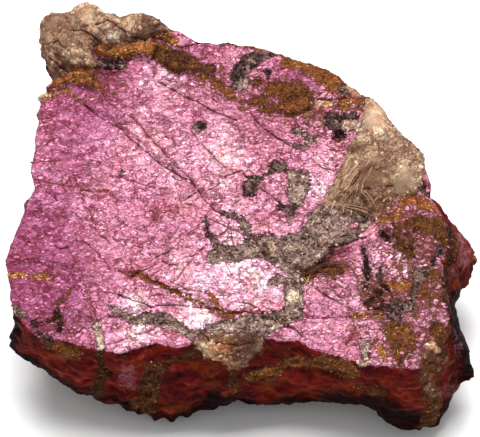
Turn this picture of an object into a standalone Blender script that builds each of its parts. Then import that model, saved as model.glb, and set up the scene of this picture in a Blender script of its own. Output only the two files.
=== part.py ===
"""A hand specimen of purpurite, lying on its back with its fresh pink face up.

The stone is one solid. Its rim and its lower edge were traced by eye on a photograph
480 pixels wide, and each traced pixel is set on the stone by a line of sight. Metres, +Z up,
the viewer looks along +Y and down. The origin is under the middle of the stone.
"""

import math

import bmesh
import bpy
import numpy as np
from mathutils import Vector, noise

MM = 0.001

# Driving dimensions
STONE_LENGTH = 110.0 * MM
FACE_HEIGHT = 30.0 * MM
FACE_SLOPE = math.tan(math.radians(6.0))
HIDDEN_EDGE_HEIGHT = 12.0 * MM
HIDDEN_EDGE_SHARE = 0.90
WALL_BULGE = 2.0 * MM
WALL_EDGE_SHARE = 0.55
BASE_SHARE = 0.74
BASE_LEAST_HEIGHT = 2.0 * MM
BASE_LIFT_SHARE = 0.35
SPOT_SHARE = 0.22
SPOT_DEPTH = 1.2 * MM

# The even faces round off sharp edges by about half a millimetre, which is added first
RIM_ALLOWANCE = 0.5 * MM
EDGE_ALLOWANCE = 0.45 * MM

# Faces of the solid
VOXEL = 1.0 * MM
TRIANGLES = 9600
COLUMNS = 240

# Roughness of the face, the walls and the underside
SWELL = 0.5 * MM
SWELL_SIZE = 13.0 * MM
WALL_LUMP = 1.1 * MM
WALL_LUMP_SIZE = 9.0 * MM
WALL_LAYER = 0.7 * MM
WALL_LAYER_SIZE = 2.6 * MM
CHIP_SIZE = 8.0 * MM
CHIP_SLANT = 0.45
CHIP_EDGE = 3.0
CHIP_SEED = 5.1
SLANT_SEED = 7
LAYER_SQUASH = (0.25, 0.25, 1.0)
UNDERSIDE_LUMP = 1.3 * MM
UNDERSIDE_LUMP_SIZE = 9.0 * MM

# How far down the walls the forms of the face reach, and where the roughness fades
FORM_DEPTH = 14.0 * MM
EDGE_FADE = 4.0 * MM
FORM_EDGE_START = 0.25
LEAST_OUTWARD = 0.2

# The line of sight that the traced pixels belong to
PHOTO_MIDDLE = (240.0, 218.5)
STONE_LENGTH_PX = 470.0
VIEW_ELEVATION = math.radians(55.0)
VIEW_DISTANCE = 0.9
AIM = (-0.6 * MM, 1.4 * MM, 18.0 * MM)

# Rim of the pink face, clockwise from the knob: pixel, pixel, lift over the face in mm
RIM_PX = [
    (39, 31, 2.5), (43, 22, 3), (50, 14, 3), (60, 13, 3.5), (67, 13, 3.5), (70, 10, 4),
    (76, 6, 4.5), (84, 4, 4.5), (92, 5, 4.2), (97, 8, 4), (104, 12, 3.7), (110, 15, 3.4),
    (120, 18, 3), (132, 16, 2.6), (145, 16, 2.2), (151, 19, 1.8), (156, 24, 1.2),
    (163, 24, 0.8), (170, 28, 0.4), (180, 31, 0), (188, 36, 0), (197, 41, 0), (215, 43, 0),
    (229, 42, 0), (240, 45, 0), (255, 46, 0), (266, 49, 0), (275, 52, 0), (288, 56, 0),
    (303, 61, 0), (318, 66, 0), (330, 71, 0), (337, 73, 0), (344, 81, 0), (352, 88, 0.4),
    (361, 94, 1.2), (368, 97, 1.8), (378, 103, 2.2), (386, 112, 2.4), (388, 117, 2.4),
    (394, 124, 2.4), (400, 132, 2.4), (409, 140, 2.2), (417, 147, 1.8), (422, 153, 1.4),
    (424, 163, 1), (426, 171, 0.6), (430, 180, 0), (432, 186, 0), (431, 197, 0),
    (437, 206, 0), (443, 217, 0), (448, 226, 0), (450, 238, 0), (447, 250, 0), (444, 262, 0),
    (444, 276, 0), (447, 290, 0), (449, 303, 0), (450, 316, 0), (448, 325, 0), (443, 334, 0),
    (436, 343, 0), (428, 353, 0), (424, 362, 0), (420, 369, 0), (410, 369, 0), (400, 368, 0),
    (385, 367, 0), (373, 366, 0), (360, 362, 0), (345, 360, 0), (335, 356, 0), (317, 351, 0),
    (305, 345, 0), (298, 341, 0), (281, 341, 0), (263, 338, 0), (255, 343, 0), (240, 348, 0),
    (225, 350, 0), (210, 348, 0), (200, 344, 0), (190, 345, 0), (178, 348, 0), (165, 345, 0),
    (155, 343, 0), (141, 348, 0), (133, 350, 0), (119, 354, 0), (110, 351, 0), (98, 350, 0),
    (85, 346, 0), (75, 344, 0), (65, 341, 0), (52, 341, 0), (45, 340, 0), (38, 336, 0),
    (30, 330, 0), (24, 325, 0), (20, 319, 0), (14, 315, 0), (12, 310, 0), (11, 303, 0),
    (9, 296, 0), (10, 288, 0), (8, 280, 0), (7, 273, 0), (5, 266, 0), (5, 260, 0),
    (8, 252, 0), (10, 245, 0), (13, 238, 0), (16, 230, 0), (19, 224, 0), (21, 218, 0),
    (24, 211, 0), (23, 203, 0), (27, 199, 0), (31, 195, 0), (34, 188, 0), (33, 183, 0),
    (32, 179, 0), (30, 172, 0), (31, 165, 0), (33, 155, 0), (35, 148, 0), (34, 141, 0),
    (36, 130, 0), (38, 122, 0), (35, 115, 0), (38, 110, 0), (40, 104, 0), (38, 100, 0),
    (37, 97, 0), (42, 94, 0), (46, 92, 0), (45, 87, 0.3), (50, 83, 0.8), (54, 77, 1.4),
    (52, 70, 1.8), (50, 62, 2.2), (47, 54, 2.4), (46, 45, 2.4), (41, 41, 2.4),
]

# Lowest edge that shows, from the right shoulder round the front to the left end:
# pixel, pixel, height over the ground in mm
LOWER_EDGE_PX = [
    (431, 197, 25), (437, 203, 24), (443, 209, 23.5), (450, 219, 22), (457, 227, 20),
    (464, 236, 18.5), (471, 245, 17), (475, 251, 16.5), (476, 260, 16), (473, 270, 15.5),
    (471, 278, 15), (468, 285, 14.5), (461, 290, 14), (460, 297, 14), (456, 303, 14),
    (454, 310, 14.5), (452, 318, 15), (455, 325, 15), (459, 334, 14.5), (463, 344, 14),
    (466, 352, 13), (470, 362, 12), (473, 370, 11), (475, 378, 10), (469, 381, 9.5),
    (463, 382, 9), (460, 385, 8.5), (458, 390, 8), (454, 394, 7), (450, 402, 6),
    (448, 409, 5), (443, 415, 4), (440, 420, 3.5), (438, 426, 3), (432, 428, 3),
    (423, 427, 3), (420, 431, 2.8), (416, 430, 3), (408, 430, 3), (400, 429, 3.2),
    (394, 426, 4), (388, 424, 4.6), (383, 419, 5.4), (377, 412, 6.6), (370, 408, 7.4),
    (362, 405, 8), (345, 404, 7.6), (330, 402, 7), (315, 402, 6), (300, 403, 5),
    (290, 405, 4.5), (282, 404, 4.5), (272, 405, 4.5), (258, 406, 4.5), (248, 403, 5),
    (238, 400, 5.5), (231, 402, 5.5), (226, 405, 5), (219, 406, 4.6), (214, 410, 4),
    (205, 410, 4), (198, 411, 3.8), (192, 415, 3.4), (188, 419, 3), (183, 417, 3),
    (178, 417, 3), (174, 421, 2.6), (170, 422, 2.6), (165, 418, 2.8), (160, 418, 2.8),
    (155, 422, 2.6), (150, 416, 3), (146, 414, 3.2), (142, 415, 3.2), (135, 412, 3.6),
    (128, 412, 3.8), (124, 409, 4.4), (120, 405, 5), (106, 405, 5.6), (101, 403, 6),
    (96, 399, 6.6), (90, 396, 7), (82, 396, 7.4), (77, 394, 7.8), (70, 388, 8.6),
    (62, 384, 9.2), (57, 379, 10), (52, 377, 10.4), (44, 369, 11.6), (39, 368, 12),
    (35, 365, 12.4), (30, 360, 13), (25, 360, 13), (20, 357, 13.6), (13, 350, 14.6),
    (10, 346, 15), (12, 342, 15.6), (13, 336, 16.4), (16, 331, 17.4), (15, 325, 19),
    (14, 318, 22),
]

# Raised and sunken forms of the face: outline in pixels, height in mm over the face that
# the outline lies at, height of the form in mm, and width in mm of its edge
FORMS = {
    "knob": (
        [(30, 31), (40, 8), (66, 2), (84, -8), (104, -2), (122, 8), (150, 6), (166, 18),
         (172, 31), (150, 37), (128, 42), (108, 46), (97, 44), (91, 52), (98, 60),
         (120, 61), (126, 66), (110, 69), (92, 66), (76, 66), (66, 70), (54, 76),
         (44, 68), (38, 52), (34, 42)],
        2.0, 3.6, 3.5),
    "knob crest": (
        [(70, 8), (84, -4), (104, 6), (118, 18), (127, 30), (122, 41), (104, 42),
         (92, 34), (80, 30), (70, 22)],
        4.0, 1.8, 3.0),
    "knob left block": (
        [(40, 20), (52, 14), (66, 20), (72, 34), (66, 46), (58, 56), (46, 52), (40, 40)],
        3.5, 1.2, 1.5),
    "knob low block": (
        [(66, 46), (80, 38), (92, 44), (90, 54), (96, 60), (84, 64), (70, 64), (60, 58)],
        3.5, 0.9, 1.5),
    "upper ochre ledge": (
        [(94, 48), (104, 43), (130, 44), (152, 38), (158, 46), (152, 58), (130, 57),
         (116, 61), (98, 56)],
        1.0, 2.0, 1.2),
    "lower ochre ledge": (
        [(42, 88), (56, 76), (74, 66), (92, 66), (98, 73), (92, 80), (104, 87), (86, 88),
         (68, 84), (56, 90)],
        0.5, 1.5, 1.2),
    "brown ledge": (
        [(156, 42), (176, 43), (192, 52), (200, 66), (216, 66), (216, 73), (196, 74),
         (176, 73), (162, 64), (154, 56)],
        0.3, 0.9, 1.0),
    "brown patch": (
        [(252, 84), (262, 82), (286, 80), (304, 84), (314, 94), (312, 110), (296, 115),
         (270, 114), (260, 108), (250, 102)],
        0.3, 0.8, 1.0),
    "dark striped hollow": (
        [(231, 78), (234, 68), (243, 58), (250, 52), (262, 54), (258, 66), (248, 72),
         (244, 80), (240, 90), (232, 90)],
        0.0, -0.8, 1.2),
    "lump": (
        [(358, 88), (380, 96), (396, 112), (410, 126), (428, 142), (434, 160), (430, 182),
         (418, 194), (402, 196), (393, 203), (381, 214), (366, 215), (350, 212), (335, 206),
         (324, 200), (328, 189), (336, 176), (343, 160), (347, 144), (355, 132), (361, 112)],
        1.5, 3.2, 6.0),
    "lump crest": (
        [(366, 104), (384, 112), (396, 128), (412, 148), (418, 166), (410, 184), (392, 182),
         (380, 160), (372, 140), (364, 122)],
        3.5, 1.6, 3.0),
    "smooth facet": (
        [(352, 188), (360, 172), (372, 164), (382, 168), (381, 186), (366, 190)],
        3.0, -0.9, 1.0),
    "matrix under the lump": (
        [(304, 212), (320, 204), (334, 204), (352, 212), (368, 214), (362, 226), (356, 240),
         (332, 248), (318, 266), (304, 274), (286, 262), (270, 258), (256, 256), (262, 238),
         (284, 236), (300, 230)],
        0.4, 1.1, 1.4),
    "hole by the lump": (
        [(334, 130), (344, 129), (346, 136), (340, 141), (334, 138)],
        0.5, -2.4, 1.2),
    "gap under the matrix": (
        [(318, 262), (332, 249), (352, 246), (352, 250), (338, 254), (324, 268)],
        0.3, -1.4, 0.8),
    "right mosaic": (
        [(366, 222), (400, 198), (430, 200), (440, 216), (446, 236), (440, 262), (436, 300),
         (440, 320), (424, 350), (400, 362), (388, 330), (380, 300), (366, 260)],
        0.2, 0.7, 3.0),
    "pit in the mosaic": (
        [(380, 230), (390, 230), (392, 240), (384, 243), (379, 238)],
        0.3, -1.8, 0.9),
    "left step": (
        [(0, 262), (30, 259), (64, 264), (74, 272), (66, 290), (56, 306), (30, 312),
         (6, 306), (0, 280)],
        0.0, -0.6, 1.2),
    "near left step": (
        [(24, 312), (60, 306), (96, 318), (96, 352), (60, 344), (36, 340), (20, 326)],
        0.0, -0.5, 1.4),
    "middle rise": (
        [(120, 110), (190, 120), (236, 150), (240, 196), (200, 214), (160, 190), (120, 150)],
        0.0, 0.6, 8.0),
}

# Cracks deep enough to be grooves: course in pixels, depth in mm, half width in mm
GROOVES = {
    "long crack": ([(85, 105), (120, 125), (160, 162), (180, 176), (199, 190), (221, 213)],
                   0.5, 1.0),
    "second crack": ([(130, 115), (150, 140), (180, 170), (198, 187)], 0.4, 1.0),
    "crack under the knob": ([(46, 56), (56, 62), (64, 70), (72, 72)], 1.6, 1.2),
    "reddish crack": ([(120, 272), (140, 276), (170, 290), (205, 300), (222, 313)], 0.6, 1.2),
    "upright crack": ([(363, 246), (367, 262), (368, 279)], 1.2, 1.1),
    "right edge crack": ([(446, 222), (452, 240), (444, 262), (447, 286)], 0.8, 1.2),
    "level crack": ([(306, 317), (340, 318), (386, 315)], 0.6, 1.0),
}

# A crack down the right front corner that parts a thin fin from the wall
FIN_CRACK_PX = [(450, 322, 26), (454, 338, 22), (458, 352, 18), (458, 366, 13), (450, 384, 8)]
FIN_CRACK_DEPTH = 1.6 * MM
FIN_CRACK_HALF_WIDTH = 1.6 * MM


def clear_scene():
    for scene_object in list(bpy.data.objects):
        bpy.data.objects.remove(scene_object)


def line_of_sight(pixels):
    """Eye point and one direction for each pixel."""
    pixels = np.asarray(pixels, dtype=float)
    sight_px = STONE_LENGTH_PX / STONE_LENGTH * VIEW_DISTANCE
    sine = math.sin(VIEW_ELEVATION)
    cosine = math.cos(VIEW_ELEVATION)
    eye = np.array(AIM) + VIEW_DISTANCE * np.array([0.0, -cosine, sine])
    across = (pixels[:, 0] - PHOTO_MIDDLE[0]) / sight_px
    up = (PHOTO_MIDDLE[1] - pixels[:, 1]) / sight_px
    direction = np.stack([across, cosine + up * sine, up * cosine - sine], axis=1)
    return eye, direction


def on_face(pixels, lift=0.0):
    """Points where the lines of sight meet the plane of the face, raised by lift."""
    eye, direction = line_of_sight(pixels)
    height = FACE_HEIGHT + np.asarray(lift)
    steepness = direction[:, 2] - FACE_SLOPE * direction[:, 1]
    reach = (height + FACE_SLOPE * eye[1] - eye[2]) / steepness
    return eye + direction * reach[:, None]


def at_height(pixels, height):
    """Points where the lines of sight come down to a height over the ground."""
    eye, direction = line_of_sight(pixels)
    reach = (np.asarray(height) - eye[2]) / direction[:, 2]
    return eye + direction * reach[:, None]


def round_the_middle(points, angles):
    """Radius and height of a traced loop at each angle round the origin."""
    angle = np.arctan2(points[:, 1], points[:, 0])
    order = np.argsort(angle)
    radius = np.hypot(points[:, 0], points[:, 1])[order]
    height = points[:, 2][order]
    turn = 2.0 * math.pi
    return (
        np.interp(angles, angle[order], radius, period=turn),
        np.interp(angles, angle[order], height, period=turn),
    )


def ring(radius, height, angles):
    return np.stack([radius * np.cos(angles), radius * np.sin(angles), height], axis=1)


def lower_edge(angles):
    """Radius and height of the lower edge at each angle, and whether it was traced there."""
    edge_px = np.array(LOWER_EDGE_PX)
    edge = at_height(edge_px[:, :2], edge_px[:, 2] * MM)
    radius, height = round_the_middle(edge, angles)
    first = math.atan2(edge[-1, 1], edge[-1, 0])
    last = math.atan2(edge[0, 1], edge[0, 0])
    shows = (angles > first) & (angles < last)
    return radius + EDGE_ALLOWANCE, np.where(shows, height, HIDDEN_EDGE_HEIGHT), shows


def stone_rings():
    """Closed rings from the flat spot up to the rim."""
    angles = np.linspace(-math.pi, math.pi, COLUMNS, endpoint=False)
    rim_px = np.array(RIM_PX)
    rim = on_face(rim_px[:, :2], rim_px[:, 2] * MM)
    rim_radius = round_the_middle(rim, angles)[0] + RIM_ALLOWANCE
    rim_height = FACE_HEIGHT + FACE_SLOPE * rim_radius * np.sin(angles)

    edge_radius, edge_height, shows = lower_edge(angles)
    edge_radius = np.where(shows, edge_radius, rim_radius * HIDDEN_EDGE_SHARE)
    facing = np.abs(np.sin(angles))
    middle_radius = rim_radius + WALL_EDGE_SHARE * (edge_radius - rim_radius)
    middle_radius += WALL_BULGE * (2.0 * facing - 1.0)
    middle_height = (rim_height + edge_height) / 2.0
    base_height = BASE_LEAST_HEIGHT + edge_height * BASE_LIFT_SHARE
    spot_height = np.full(COLUMNS, -SPOT_DEPTH)
    return [
        ring(edge_radius * SPOT_SHARE, spot_height, angles),
        ring(edge_radius * BASE_SHARE, base_height, angles),
        ring(edge_radius, edge_height, angles),
        ring(middle_radius, middle_height, angles),
        ring(rim_radius, rim_height, angles),
    ]


def lofted_block():
    """The plain block: rings skinned to each other, with a cap below and one on top."""
    rings = stone_rings()
    block = bmesh.new()
    levels = [[block.verts.new(point) for point in points] for points in rings]
    for lower, upper in zip(levels, levels[1:]):
        for column in range(COLUMNS):
            beside = (column + 1) % COLUMNS
            block.faces.new((lower[column], lower[beside], upper[beside], upper[column]))
    caps = ((levels[0], -SPOT_DEPTH), (levels[-1], FACE_HEIGHT))
    for level, height in caps:
        middle = block.verts.new((0.0, 0.0, height))
        for column in range(COLUMNS):
            block.faces.new((level[column], level[(column + 1) % COLUMNS], middle))
    bmesh.ops.recalc_face_normals(block, faces=block.faces)
    return block


def distance_inside(points, outline):
    """Distance to a closed outline in the ground plane, positive inside it."""
    nearest = np.full(len(points), np.inf)
    inside = np.zeros(len(points), dtype=bool)
    for (ax, ay), (bx, by) in zip(outline, np.roll(outline, -1, axis=0)):
        run = np.array([bx - ax, by - ay])
        offset = points - (ax, ay)
        share = np.clip(offset @ run / (run @ run), 0.0, 1.0)
        gap = np.hypot(offset[:, 0] - share * run[0], offset[:, 1] - share * run[1])
        nearest = np.minimum(nearest, gap)
        if ay != by:
            crosses = (ay > points[:, 1]) != (by > points[:, 1])
            inside ^= crosses & (points[:, 0] < ax + run[0] * (points[:, 1] - ay) / run[1])
    return np.where(inside, nearest, -nearest)


def distance_to_line(points, line):
    """Distance to an open line, in as many dimensions as the line has."""
    nearest = np.full(len(points), np.inf)
    for start, end in zip(line, line[1:]):
        run = end - start
        share = np.clip((points - start) @ run / (run @ run), 0.0, 1.0)
        gap = np.linalg.norm(points - start - share[:, None] * run, axis=1)
        nearest = np.minimum(nearest, gap)
    return nearest


def smooth_step(values):
    values = np.clip(values, 0.0, 1.0)
    return values * values * (3.0 - 2.0 * values)


def rough(points, size, octaves=3, seed=0.0):
    """Smooth noise between about -1 and 1, with lumps of the given size."""
    offset = Vector((seed, seed * 1.7, -seed))
    return np.array(
        [noise.fractal(Vector(point) / size + offset, 1.0, 2.0, octaves) for point in points]
    )


def chipped(points, size, seed=0.0):
    """Flat chips of the given size, each with a slant of its own that fades at its edge."""
    noise.seed_set(SLANT_SEED)
    offset = Vector((seed, -seed, seed * 0.6))
    heights = []
    for point in points:
        place = Vector(point) / size + offset
        distances, chips = noise.voronoi(place)
        slant = noise.noise_vector(chips[0] * CHIP_SEED).dot(place - chips[0])
        heights.append(slant * min(1.0, CHIP_EDGE * (distances[1] - distances[0])))
    return np.array(heights) * size


def face_relief(points):
    """Height of the lumps, ledges, pits and cracks of the face over its plane."""
    plan = points[:, :2]
    relief = SWELL * rough(points, SWELL_SIZE)
    for outline_px, lift, height, edge in FORMS.values():
        outline = on_face(outline_px, lift * MM)[:, :2]
        inside = distance_inside(plan, outline)
        relief += height * MM * smooth_step(inside / (edge * MM) + FORM_EDGE_START)
    for course_px, depth, half_width in GROOVES.values():
        gap = distance_to_line(plan, on_face(course_px)[:, :2])
        relief -= depth * MM * smooth_step(1.0 - gap / (half_width * MM))
    return relief


def carve(mesh):
    """Give the plain block the relief of its face, its broken walls and its underside."""
    count = len(mesh.vertices)
    points = np.empty(count * 3)
    normals = np.empty(count * 3)
    mesh.vertices.foreach_get("co", points)
    mesh.vertices.foreach_get("normal", normals)
    points = points.reshape(-1, 3)
    normals = normals.reshape(-1, 3)

    below_face = FACE_HEIGHT + FACE_SLOPE * points[:, 1] - points[:, 2]
    edge_radius, edge_height, shows = lower_edge(np.arctan2(points[:, 1], points[:, 0]))
    over_edge = points[:, 2] - edge_height
    inside_edge = edge_radius - np.hypot(points[:, 0], points[:, 1])
    up_share = smooth_step(1.0 - below_face / FORM_DEPTH)
    wall_share = smooth_step(below_face / EDGE_FADE) * smooth_step(over_edge / EDGE_FADE)
    under_share = smooth_step(-normals[:, 2]) * smooth_step(inside_edge / EDGE_FADE)

    outward = normals.copy()
    outward[:, 2] = 0.0
    outward /= np.maximum(np.linalg.norm(outward, axis=1), LEAST_OUTWARD)[:, None]
    wall = WALL_LUMP * rough(points, WALL_LUMP_SIZE, seed=3.1)
    wall += WALL_LAYER * rough(points * LAYER_SQUASH, WALL_LAYER_SIZE, seed=7.7)
    wall += CHIP_SLANT * chipped(points, CHIP_SIZE, seed=2.3)
    fin_crack_px = np.array(FIN_CRACK_PX)
    gap = distance_to_line(points, at_height(fin_crack_px[:, :2], fin_crack_px[:, 2] * MM))
    wall -= FIN_CRACK_DEPTH * smooth_step(1.0 - gap / FIN_CRACK_HALF_WIDTH)
    under = UNDERSIDE_LUMP * rough(points, UNDERSIDE_LUMP_SIZE, seed=5.3)

    moved = points + outward * (wall * wall_share)[:, None]
    moved[:, 2] += under * under_share
    moved[:, 2] += face_relief(points) * up_share
    mesh.vertices.foreach_set("co", moved.ravel())
    mesh.update()


def applied(scene_object):
    """Replace the object's mesh by the one that its modifiers give."""
    graph = bpy.context.evaluated_depsgraph_get()
    mesh = bpy.data.meshes.new_from_object(scene_object.evaluated_get(graph))
    scene_object.modifiers.clear()
    scene_object.data = mesh


def cut_flat_spot(mesh):
    """Cut the underside at the ground, which leaves the flat spot that the stone lies on."""
    stone = bmesh.new()
    stone.from_mesh(mesh)
    bmesh.ops.bisect_plane(
        stone,
        geom=stone.verts[:] + stone.edges[:] + stone.faces[:],
        dist=1e-7,
        plane_co=(0.0, 0.0, 0.0),
        plane_no=(0.0, 0.0, 1.0),
        clear_inner=True,
    )
    open_edges = [edge for edge in stone.edges if edge.is_boundary]
    bmesh.ops.holes_fill(stone, edges=open_edges, sides=0)
    bmesh.ops.triangulate(stone, faces=stone.faces[:])
    bmesh.ops.recalc_face_normals(stone, faces=stone.faces)
    stone.to_mesh(mesh)
    stone.free()


def stone_material():
    material = bpy.data.materials.new("purpurite")
    material.use_nodes = True
    shader = material.node_tree.nodes["Principled BSDF"]
    shader.inputs["Base Color"].default_value = (0.56, 0.20, 0.31, 1.0)
    shader.inputs["Roughness"].default_value = 0.45
    shader.inputs["Metallic"].default_value = 0.0
    return material


def build_stone(collection):
    block = lofted_block()
    mesh = bpy.data.meshes.new("purpurite")
    block.to_mesh(mesh)
    block.free()
    stone = bpy.data.objects.new("purpurite", mesh)
    collection.objects.link(stone)

    remesh = stone.modifiers.new("even faces", "REMESH")
    remesh.mode = "VOXEL"
    remesh.voxel_size = VOXEL
    applied(stone)
    carve(stone.data)

    thin = stone.modifiers.new("fewer faces", "DECIMATE")
    faces = len(stone.data.polygons)
    thin.ratio = TRIANGLES / (2.0 * faces)
    applied(stone)
    cut_flat_spot(stone.data)
    stone.data.materials.clear()
    stone.data.materials.append(stone_material())
    return stone


clear_scene()
specimen = bpy.data.collections.new("purpurite specimen")
bpy.context.scene.collection.children.link(specimen)
build_stone(specimen)
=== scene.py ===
import math
import bmesh
import bpy
import numpy as np
from mathutils import Matrix, Vector, noise
from mathutils.bvhtree import BVHTree


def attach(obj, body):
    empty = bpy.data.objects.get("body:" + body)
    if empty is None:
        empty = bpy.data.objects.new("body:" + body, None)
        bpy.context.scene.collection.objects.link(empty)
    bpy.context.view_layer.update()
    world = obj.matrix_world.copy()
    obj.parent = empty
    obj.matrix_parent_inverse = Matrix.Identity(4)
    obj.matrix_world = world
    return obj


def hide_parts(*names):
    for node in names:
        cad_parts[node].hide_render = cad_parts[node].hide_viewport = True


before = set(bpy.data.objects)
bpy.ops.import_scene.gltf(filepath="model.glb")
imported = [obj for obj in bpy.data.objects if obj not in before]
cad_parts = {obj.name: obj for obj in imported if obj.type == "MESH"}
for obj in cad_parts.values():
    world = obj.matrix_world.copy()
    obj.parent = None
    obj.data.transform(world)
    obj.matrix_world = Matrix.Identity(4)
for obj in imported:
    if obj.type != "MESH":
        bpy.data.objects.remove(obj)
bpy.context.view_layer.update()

# The stone: one natural piece of massive purpurite, broken off with a hammer. Its upper side is
# a fresh cleavage face. Its sides are the iron-stained crust that the broken pieces weather to.
# The rim and the lower edge are traced on a picture 480 x 437 pixels and set by lines of sight.
MM = 0.001
STONE_LENGTH = 110.0 * MM
FACE_HEIGHT = 30.0 * MM
FACE_SLOPE = math.tan(math.radians(6.0))
HIDDEN_EDGE_HEIGHT = 12.0 * MM
HIDDEN_EDGE_SHARE = 0.90
WALL_BULGE = 2.0 * MM
WALL_EDGE_SHARE = 0.55
BASE_SHARE = 0.74
BASE_LEAST_HEIGHT = 2.0 * MM
BASE_LIFT_SHARE = 0.35
SPOT_SHARE = 0.22
SPOT_DEPTH = 1.2 * MM
RIM_ALLOWANCE = 0.2 * MM
EDGE_ALLOWANCE = 0.15 * MM
VOXEL = 0.42 * MM
COLUMNS = 900
FAR_SIDE_SHARE = 0.26
SWELL = 0.5 * MM
SWELL_SIZE = 13.0 * MM
WALL_LUMP = 1.1 * MM
WALL_LUMP_SIZE = 9.0 * MM
WALL_LAYER = 0.7 * MM
WALL_LAYER_SIZE = 2.6 * MM
LAYER_SQUASH = (0.25, 0.25, 1.0)
CHIP_SIZE = 8.0 * MM
CHIP_SLANT = 0.45
CHIP_EDGE = 3.0
CHIP_SEED = 5.1
SLANT_SEED = 7
UNDERSIDE_LUMP = 1.3 * MM
UNDERSIDE_LUMP_SIZE = 9.0 * MM
FORM_DEPTH = 14.0 * MM
EDGE_FADE = 4.0 * MM
FORM_EDGE_START = 0.25
LEAST_OUTWARD = 0.2
CUT_TOLERANCE = 1e-7
RIM_SHOWS = 2.0 * MM
EDGE_SHOWS = 0.6 * MM

PHOTO_WIDTH = 480.0
PHOTO_MIDDLE = (240.0, 218.5)
STONE_LENGTH_PX = 470.0
VIEW_ELEVATION = math.radians(55.0)
VIEW_DISTANCE = 0.9
SIGHT_PX = STONE_LENGTH_PX / STONE_LENGTH * VIEW_DISTANCE
AIM = np.array([-0.6 * MM, 1.4 * MM, 18.0 * MM])
VIEW_SINE = math.sin(VIEW_ELEVATION)
VIEW_COSINE = math.cos(VIEW_ELEVATION)
EYE = AIM + VIEW_DISTANCE * np.array([0.0, -VIEW_COSINE, VIEW_SINE])
UPWARD = np.array([0.0, VIEW_SINE, VIEW_COSINE])
FORWARD = np.array([0.0, VIEW_COSINE, -VIEW_SINE])

# Rim of the pink face, clockwise from the knob: pixel, pixel, lift over the face in mm
RIM_PX = [
    (39, 31, 2.5), (43, 22, 3), (50, 14, 3), (60, 13, 3.5), (67, 13, 3.5), (70, 10, 4),
    (76, 6, 4.5), (84, 4, 4.5), (92, 5, 4.2), (97, 8, 4), (104, 12, 3.7), (110, 15, 3.4),
    (120, 18, 3), (132, 16, 2.6), (145, 16, 2.2), (151, 19, 1.8), (156, 24, 1.2),
    (163, 24, 0.8), (170, 28, 0.4), (180, 31, 0), (188, 36, 0), (197, 41, 0), (215, 43, 0),
    (229, 42, 0), (240, 45, 0), (255, 46, 0), (266, 49, 0), (275, 52, 0), (288, 56, 0),
    (303, 61, 0), (318, 66, 0), (330, 71, 0), (337, 73, 0), (344, 81, 0), (352, 88, 0.4),
    (361, 94, 1.2), (368, 97, 1.8), (378, 103, 2.2), (386, 112, 2.4), (388, 117, 2.4),
    (394, 124, 2.4), (400, 132, 2.4), (409, 140, 2.2), (417, 147, 1.8), (422, 153, 1.4),
    (424, 163, 1), (426, 171, 0.6), (430, 180, 0), (432, 186, 0), (431, 197, 0),
    (437, 206, 0), (443, 217, 0), (448, 226, 0), (450, 238, 0), (447, 250, 0), (444, 262, 0),
    (444, 276, 0), (447, 290, 0), (449, 303, 0), (450, 316, 0), (448, 325, 0), (443, 334, 0),
    (436, 343, 0), (428, 353, 0), (424, 362, 0), (420, 369, 0), (410, 369, 0), (400, 368, 0),
    (385, 367, 0), (373, 366, 0), (360, 362, 0), (345, 360, 0), (335, 356, 0), (317, 351, 0),
    (305, 345, 0), (298, 341, 0), (281, 341, 0), (263, 338, 0), (255, 343, 0), (240, 348, 0),
    (225, 350, 0), (210, 348, 0), (200, 344, 0), (190, 345, 0), (178, 348, 0), (165, 345, 0),
    (155, 343, 0), (141, 348, 0), (133, 350, 0), (119, 354, 0), (110, 351, 0), (98, 350, 0),
    (85, 346, 0), (75, 344, 0), (65, 341, 0), (52, 341, 0), (45, 340, 0), (38, 336, 0),
    (30, 330, 0), (24, 325, 0), (20, 319, 0), (14, 315, 0), (12, 310, 0), (11, 303, 0),
    (9, 296, 0), (10, 288, 0), (8, 280, 0), (7, 273, 0), (5, 266, 0), (5, 260, 0),
    (8, 252, 0), (10, 245, 0), (13, 238, 0), (16, 230, 0), (19, 224, 0), (21, 218, 0),
    (24, 211, 0), (23, 203, 0), (27, 199, 0), (31, 195, 0), (34, 188, 0), (33, 183, 0),
    (32, 179, 0), (30, 172, 0), (31, 165, 0), (33, 155, 0), (35, 148, 0), (34, 141, 0),
    (36, 130, 0), (38, 122, 0), (35, 115, 0), (38, 110, 0), (40, 104, 0), (38, 100, 0),
    (37, 97, 0), (42, 94, 0), (46, 92, 0), (45, 87, 0.3), (50, 83, 0.8), (54, 77, 1.4),
    (52, 70, 1.8), (50, 62, 2.2), (47, 54, 2.4), (46, 45, 2.4), (41, 41, 2.4),
]

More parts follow.
